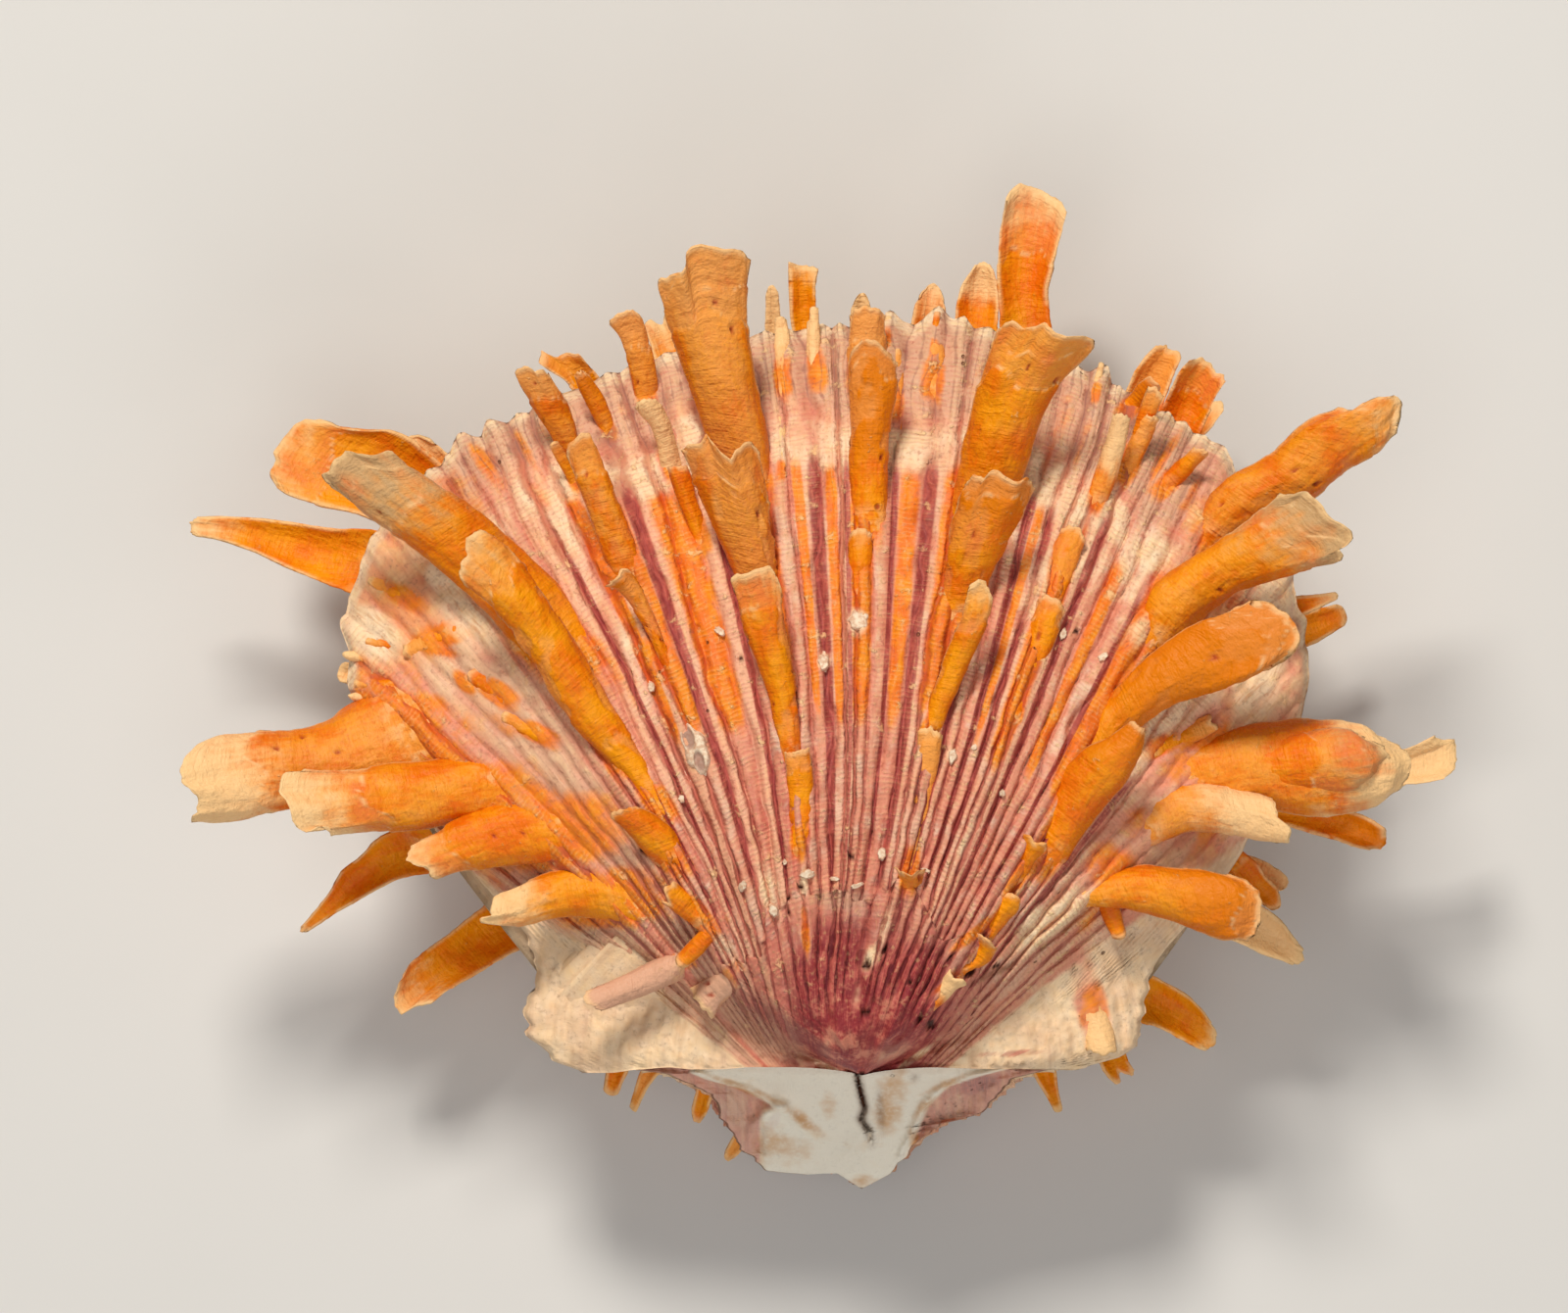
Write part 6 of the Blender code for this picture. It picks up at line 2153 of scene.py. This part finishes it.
    def grow(self, sheet: Sheet, spine: Spine, seed: int) -> None:
        """Adds one spine to a sheet.

        Args:
            sheet: The sheet that takes it.
            spine: The spine.
            seed: Makes its edge, ridges and colour its own.
        """
        lead = self.lead_in * min(spine.root_width, self.lead_width) / spine.reach
        rows = int(np.clip(spine.reach * (1 + lead) / self.row_pitch, *self.rows))
        widest = max(spine.tip_width, spine.root_width)
        columns = int(np.clip(widest / self.column_pitch, *self.columns))
        steps = np.linspace(0, 1, rows)
        across = np.linspace(-1, 1, columns)
        tips = self.edge_of_tip(spine, across, seed)
        share = -lead + (tips[None, :] + lead) * steps[:, None]
        flat = share.ravel()
        to_go = ((tips[None, :] - share) * spine.reach).ravel()
        left, right = self.sides(spine, flat, seed)
        middle, wide = (left + right) / 2, (right - left) / 2
        half_width = np.linalg.norm(wide, axis=1)
        rod = (self.rod_angle, self.rod_angle)
        angles = np.radians(rod if spine.thick else (self.root_angle, spine.arc))
        half = np.interp(flat, (0, 1), angles) * (1 + 0.05 * grain(seed + 3, flat * 6))
        radius = half_width / np.sin(np.minimum(half, np.pi / 2))
        spread = np.tile(across, rows)
        turn = half * spread
        run, arc = flat * spine.reach, turn * radius
        height = self.middle_height(spine, flat, middle)
        pulled = np.tile(self.pull(spine, across, angles[1], seed), (rows, 1))
        late = smooth(1 - min(0.6, 1.3 * spine.tip_width / spine.reach), 1.0, flat)
        squash = np.clip(1 - (half_width - 3) / 12, 0.6, 1) * (-1 if self.opens_up else 1)

        crinkle = run * 0.2 + 2 * grain(seed + 4, run * 0.25, turn)
        ridges = 0.025 * np.cos(arc * math.tau / self.ridge_pitch + crinkle)
        ridges = ridges + 0.05 * grain(seed + 10, arc * 1.5, run * 0.35)
        ring = run / self.ring_pitch + 0.9 * grain(seed + 5, turn * 1.5, run * 0.3)
        rings = 0.08 * (ring % 1.0) ** 3 * (0.5 + 0.5 * grain(seed + 11, run * 0.3, turn))
        lumps = 0.26 * rough(seed + 6, run * 0.3, arc * 0.35) * min(1.0, spine.tip_width / 4)
        creases = 0.14 * grain(seed + 13, arc * 0.9, to_go * 0.12)
        creases = creases * fall(1.0, 7.0, to_go)
        layers = self.layered(spine, to_go, spread, seed)
        broad = float(smooth(3.0, 4.5, np.array(spine.tip_width)))
        flaky = rough(seed + 8, run * 0.34, arc * 0.4) + 0.25 * np.abs(spread) ** 2
        flake = smooth(0.2, 0.25, flaky) * smooth(0.05, 0.25, flat) * spine.flaky
        pit = self.pits(run, arc, spine, seed)
        shape = (ridges + rings + lumps + creases * broad) * smooth(-0.1, 0.15, flat)
        shape = shape - self.layer_step * layers - self.flake_depth * flake
        shape = shape - self.pit_depth * pit
        if spine.form is TipForm.ROUNDED:
            shape = shape - 0.32 * radius * fall(0.0, 0.5 * spine.tip_width, to_go) ** 2
        near_tip = fall(0.0, 0.7 * spine.tip_width, to_go)
        wave = grain(seed + 12, spread * 2.4)
        shape = shape + 0.05 * spine.tip_width * near_tip * wave
        begun = np.clip(flat + lead, 0, None) * spine.reach
        foot = 1 + spine.foot * np.exp(-((begun / (0.75 * spine.root_width)) ** 1.5))
        sideways = wide / half_width[:, None] * (np.sin(turn) * foot)[:, None]
        facing = np.concatenate((sideways, (np.cos(turn) * squash)[:, None]), axis=1)
        line = np.concatenate((middle + late[:, None] * pulled, height[:, None]), axis=1)
        outer = line + (radius + shape)[:, None] * facing

        thin = self.thickness * (0.75 + 0.05 * spine.tip_width)
        taper = (1 - np.abs(spread) ** 6 * 0.6) * (0.5 + 0.5 * smooth(0.0, 0.8, to_go))
        solid = fall(-0.05, 0.5, flat) * 0.6 * radius + spine.thick * radius
        depth = np.minimum(thin * taper + solid * (1 - spread**2), radius * 0.92)
        inner = line + (radius + 0.3 * shape - np.maximum(depth, 0.14))[:, None] * facing
        if not self.opens_up:
            lift = smooth(-0.6, 0.4, run / spine.root_width)
            ground = self.upper.height_at(outer[:, 0], outer[:, 1]) + 1.1 * lift - 0.45
            outer[:, 2] -= np.clip(outer[:, 2] - ground, 0, None) * (1 - lift)
            inner[:, 2] = np.minimum(inner[:, 2], outer[:, 2] - 0.12)
        outer[:, 2] = np.maximum(outer[:, 2], self.lowest)
        inner[:, 2] = np.maximum(inner[:, 2], self.lowest)
        size = (rows, columns, 3)
        outer, inner = outer.reshape(size), inner.reshape(size)[:, ::-1]
        ring_points = np.concatenate((outer, inner), axis=1)

        def both(values: np.ndarray) -> np.ndarray:
            """A number of the outside repeated for the inside, column by column."""
            values = values.reshape(size[:2])
            return np.concatenate((values, values[:, ::-1]), axis=1)

        near_side = smooth(0.9, 1.0, np.abs(spread)) * smooth(0.15, 0.4, flat)
        rim = np.maximum(fall(0.15, 0.8, to_go), near_side)
        luck = float(luck_of(seed, 11))
        under = np.concatenate((np.zeros(size[:2]), np.ones(size[:2])), axis=1)
        # Side, how far across the spine a point lies, carries the painted shade of its edges.
        marks = {
            "along": both(flat), "run": both(run), "turn": both(arc), "rim": both(rim),
            "layer": both(np.clip(layers, 0, 1)), "root": both(fall(-0.02, 0.16, flat)),
            "inside": under, "flake": both(flake), "pit": both(pit) * (1 - under),
            "lip": both(4 * (layers % 1.0) * (1 - layers % 1.0)), "side": both(np.abs(spread)),
            "luck": luck, "tint": spine.tint.value, "tint_from": spine.tint_from,
            "bloom": spine.bloom,
        }
        index = grid_index(sheet.add(ring_points, marks), rows, 2 * columns)
        sheet.weave(index, around=True, flip=self.opens_up)
        for row, turned in ((index[0], not self.opens_up), (index[-1], self.opens_up)):
            cap = np.stack((row[:columns], row[columns:][::-1]))
            sheet.weave(cap, flip=turned)

    def build(self, name: str, spines: tuple[Spine, ...], finish: bpy.types.Material,
              first_seed: int) -> bpy.types.Object:
        """Grows all the spines of one rib as one piece.

        Args:
            name: The piece's name.
            spines: Its spines.
            finish: The material.
            first_seed: The first spine's seed.

        Returns:
            The piece.
        """
        sheet = Sheet()
        for number, spine in enumerate(spines):
            self.grow(sheet, spine, first_seed + self.seed_step * number)
        return sheet.piece(name, finish)


@dataclass
class Ligament:
    """The dried ligament in the slit of the cardinal area."""

    start: Pair = (-0.5, -1.5)
    end: Pair = (0.2, -4.8)
    width: float = 0.36
    slope: float = 0.95
    sunk: float = 0.95
    depth: float = 1.6
    rows: int = 40
    around: int = 14

    def build(self, finish: bpy.types.Material) -> bpy.types.Object:
        """Builds a crumbling ridge that follows the slit.

        Args:
            finish: The material.

        Returns:
            The piece.
        """
        turns = np.linspace(0, math.tau, self.around + 1)[:-1]
        along, turn = np.meshgrid(np.linspace(0, 1, self.rows), turns, indexing="ij")
        x = self.start[0] + along * (self.end[0] - self.start[0])
        y = self.start[1] + along * (self.end[1] - self.start[1])
        round_off = np.sqrt(np.clip(1 - (2 * along - 1) ** 6, 0.02, 1))
        crumbs = 1 + 0.3 * grain(83, along * 14, turn * 1.2)
        x = x + self.width / 2 * np.cos(turn) * round_off * crumbs
        top = COMMISSURE - HALF_GAP + self.slope * y - self.sunk
        z = top + self.depth / 2 * (np.sin(turn) * crumbs - 1) * round_off
        sheet = Sheet()
        index = grid_index(sheet.add(np.stack((x, y, z), axis=-1), {}), *x.shape)
        sheet.weave(index, around=True)
        sheet.cap(index[0], flip=True)
        sheet.cap(index[-1])
        return sheet.piece("dried_ligament", finish)


@dataclass(frozen=True)
class Crust:
    """One barnacle scar or chip: where it sits, how large, and its chambers.

    A chamber is given as its place across and along the scar and its radius, all as
    shares of half the scar's size.
    """

    middle: Pair
    length: float
    width: float
    heading: float
    height: float
    chambers: tuple[Triple, ...] = ()


@dataclass
class CrustGrower:
    """Small white growths and chips that sit on the upper valve."""

    upper: UpperValve
    crusts: tuple[Crust, ...] = (
        Crust((-17.1, 32.2), 6.6, 3.1, -14, 0.75, ((-0.25, 0.35, 0.5), (0.1, -0.45, 0.42))),
        Crust((-4.0, 41.0), 1.9, 1.4, 10, 0.35), Crust((9.1, 31.4), 2.0, 1.1, 8, 0.4),
        Crust((11.3, 32.3), 0.9, 0.8, 0, 0.3), Crust((-14.6, 44.1), 1.5, 1.0, -60, 0.3),
        Crust((-0.4, 45.2), 2.6, 2.6, 0, 0.2), Crust((-12.2, 18.2), 1.4, 0.9, 30, 0.35),
        Crust((-9.1, 15.6), 1.6, 1.1, -30, 0.3), Crust((20.4, 43.8), 1.3, 1.0, 20, 0.3),
        Crust((1.9, 21.4), 1.6, 1.0, 20, 0.25), Crust((-8.6, 41.3), 1.1, 0.9, 20, 0.2),
        Crust((-5.6, 19.4), 2.0, 1.0, 80, 0.15), Crust((-2.9, 18.9), 1.2, 0.6, 95, 0.12),
        Crust((-0.6, 18.2), 1.7, 0.7, 75, 0.12), Crust((6.4, 19.8), 1.2, 0.5, 110, 0.2),
        Crust((-7.9, 20.6), 0.8, 0.6, 10, 0.22), Crust((14.2, 27.6), 1.0, 0.7, 30, 0.25),
        Crust((-18.4, 27.0), 1.0, 0.8, 0, 0.25), Crust((24.5, 41.5), 1.5, 1.1, 40, 0.3),
        Crust((-21.5, 38.4), 1.2, 0.9, -20, 0.3),
    )
    columns: int = 44
    reach: float = 1.1
    lift: float = 0.35

    def build(self, finish: bpy.types.Material) -> bpy.types.Object:
        """Builds every growth as one joined piece.

        Args:
            finish: The material.

        Returns:
            The piece.
        """
        sheet = Sheet()
        steps = np.linspace(-self.reach, self.reach, self.columns)
        for number, crust in enumerate(self.crusts):
            u, v = np.meshgrid(steps, steps)
            far = np.hypot(u, v)
            angle = np.arctan2(v, u)
            rim = 1 + 0.3 * grain(90 + number, np.cos(angle) * 1.8 + 9, np.sin(angle) * 1.8)
            heading = math.radians(crust.heading)
            across, along = u * crust.width / 2, v * crust.length / 2
            x = crust.middle[0] + across * math.cos(heading) + along * math.sin(heading)
            y = crust.middle[1] - across * math.sin(heading) + along * math.cos(heading)
            body = fall(0.62, 0.98, far / rim)
            hollow = np.zeros_like(u)
            for cu, cv, size in crust.chambers:
                hollow = np.maximum(hollow, fall(0.55, 0.95, np.hypot(u - cu, v - cv) / size))
            stand = crust.height * body * (0.85 + 0.25 * rough(110 + number, x, y)) - 0.55 * hollow
            z = self.upper.height_at(x, y) + stand + self.lift - 0.8 * (1 - body)
            starts = [
                sheet.add(np.stack((x, y, level), axis=-1), {"hollow": hollow})
                for level in (z, z - 1.0 - 0.4 * body)
            ]
            top, low = (grid_index(start, *u.shape) for start in starts)
            sheet.weave(top)
            sheet.weave(low, flip=True)
            walls = (
                (top[0], low[0]), (low[-1], top[-1]), (low[:, 0], top[:, 0]),
                (top[:, -1], low[:, -1]),
            )
            for wall in walls:
                sheet.weave(np.stack(wall), flip=True)
        return sheet.piece("white_crust", finish)


@dataclass(frozen=True)
class Lamp:
    """A soft square lamp that points at the shell. Places and sizes are in metres."""

    name: str
    place: Triple
    size: float
    watts: float
    colour: Triple
    aim: Triple = (0.0, 0.0, 0.03)

    def build(self) -> None:
        """Adds the lamp."""
        data = bpy.data.lights.new(self.name, "AREA")
        data.size, data.energy, data.color = self.size, self.watts, self.colour
        lamp = bpy.data.objects.new(self.name, data)
        lamp.location = self.place
        lamp.rotation_mode = "QUATERNION"
        ahead = Vector(self.aim) - Vector(self.place)
        lamp.rotation_quaternion = ahead.to_track_quat("-Z", "Y")
        lamp.visible_camera = False
        bpy.context.scene.collection.objects.link(lamp)


@dataclass
class Studio:
    """A pale floor, soft light and the camera, looking straight down on the shell."""

    frame_width: float = 160.0
    distance: float = 2000.0
    sensor: float = 36.0
    middle: Pair = (-8.0, 41.5)
    focus_height: float = 33.0
    far_clip: float = 20.0
    floor_size: float = 12.0
    floor_drop: float = 0.0001
    sky_colour: tuple[float, float, float, float] = (1.0, 0.97, 0.94, 1.0)
    sky_strength: float = 0.16
    lamps: tuple[Lamp, ...] = (
        Lamp("key_light", (-0.22, 0.76, 0.96), 0.26, 13.4, (1.0, 0.96, 0.9)),
        Lamp("fill_light", (0.4, -1.0, 0.8), 0.8, 4.6, (0.95, 0.97, 1.0)),
        Lamp("top_light", (-0.1, -0.25, 1.2), 0.7, 3.2, (1.0, 0.98, 0.95)),
    )

    def floor(self) -> None:
        """Adds the pale floor."""
        board = Board("pale_floor")
        cloud = board.noise(board.position(), 0.02, 2.0)
        colour = board.mix(cloud, srgb(214, 212, 208), srgb(208, 206, 202))
        finish = board.finish(colour, 0.8, board.bump(cloud, 0.01))
        place = (0, 0, -self.floor_drop)
        bpy.ops.mesh.primitive_plane_add(size=self.floor_size, location=place)
        plane = bpy.context.object
        plane.name = "floor"
        plane.data.materials.append(finish)

    def sky(self) -> None:
        """Adds a faint, even light from all round."""
        world = bpy.data.worlds.new("studio_sky")
        world.use_nodes = True
        inputs = world.node_tree.nodes["Background"].inputs
        inputs["Color"].default_value = self.sky_colour
        inputs["Strength"].default_value = self.sky_strength
        bpy.context.scene.world = world

    def camera(self) -> None:
        """Adds the camera, straight above the middle of the picture."""
        data = bpy.data.cameras.new("camera")
        data.sensor_width = self.sensor
        data.lens = self.sensor * self.distance / self.frame_width
        data.clip_end = self.far_clip
        camera = bpy.data.objects.new("camera", data)
        place = Vector((*self.middle, self.focus_height + self.distance))
        camera.location = (place + Vector(SHELL_ORIGIN)) * MM
        scene = bpy.context.scene
        scene.collection.objects.link(camera)
        scene.camera = camera

    def build(self) -> None:
        """Sets up the floor, the lamps, the sky and the camera."""
        self.floor()
        for lamp in self.lamps:
            lamp.build()
        self.sky()
        self.camera()
        bpy.context.scene.view_settings.view_transform = "Standard"


def settle(piece: bpy.types.Object, node: str) -> None:
    """Ties a piece to the frame's body and hides the node that it stands for.

    Args:
        piece: The finished piece.
        node: The solid that it stands for.
    """
    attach(piece, BODY)
    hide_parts(node)
    LOG.info("%s: %d faces", piece.name, len(piece.data.polygons))


def main() -> None:
    """Builds the shell piece by piece, then the studio."""
    logging.basicConfig(level=logging.INFO, format="%(name)s %(message)s")
    spine_finish = SpineFinish().build()
    upper, lower = UpperValve(), LowerValve()
    for valve, place in ((upper, "upper"), (lower, "lower")):
        piece = valve.build(ValveFinish(f"ribbed_{place}_shell").build())
        settle(piece, f"{place}_valve")
    groups = (
        (UPPER_SPINES, False, "upper_valve", "spines_of_"),
        (LOWER_SPINES, True, "lower_valve", "lower_spines_of_"),
    )
    for spines, opens_up, node, prefix in groups:
        grower = SpineGrower(upper, lower, opens_up)
        for number, (place, members) in enumerate(spines.items()):
            seed = GROUP_SEED_STEP * (number + 1) + LOWER_SEED_SHIFT * opens_up
            piece = grower.build(prefix + place, members, spine_finish, seed)
            settle(piece, node)
    settle(Ligament().build(LigamentFinish().build()), "ligament")
    settle(CrustGrower(upper).build(CrustFinish().build()), "upper_valve")
    Studio().build()


if __name__ == "__main__":
    main()
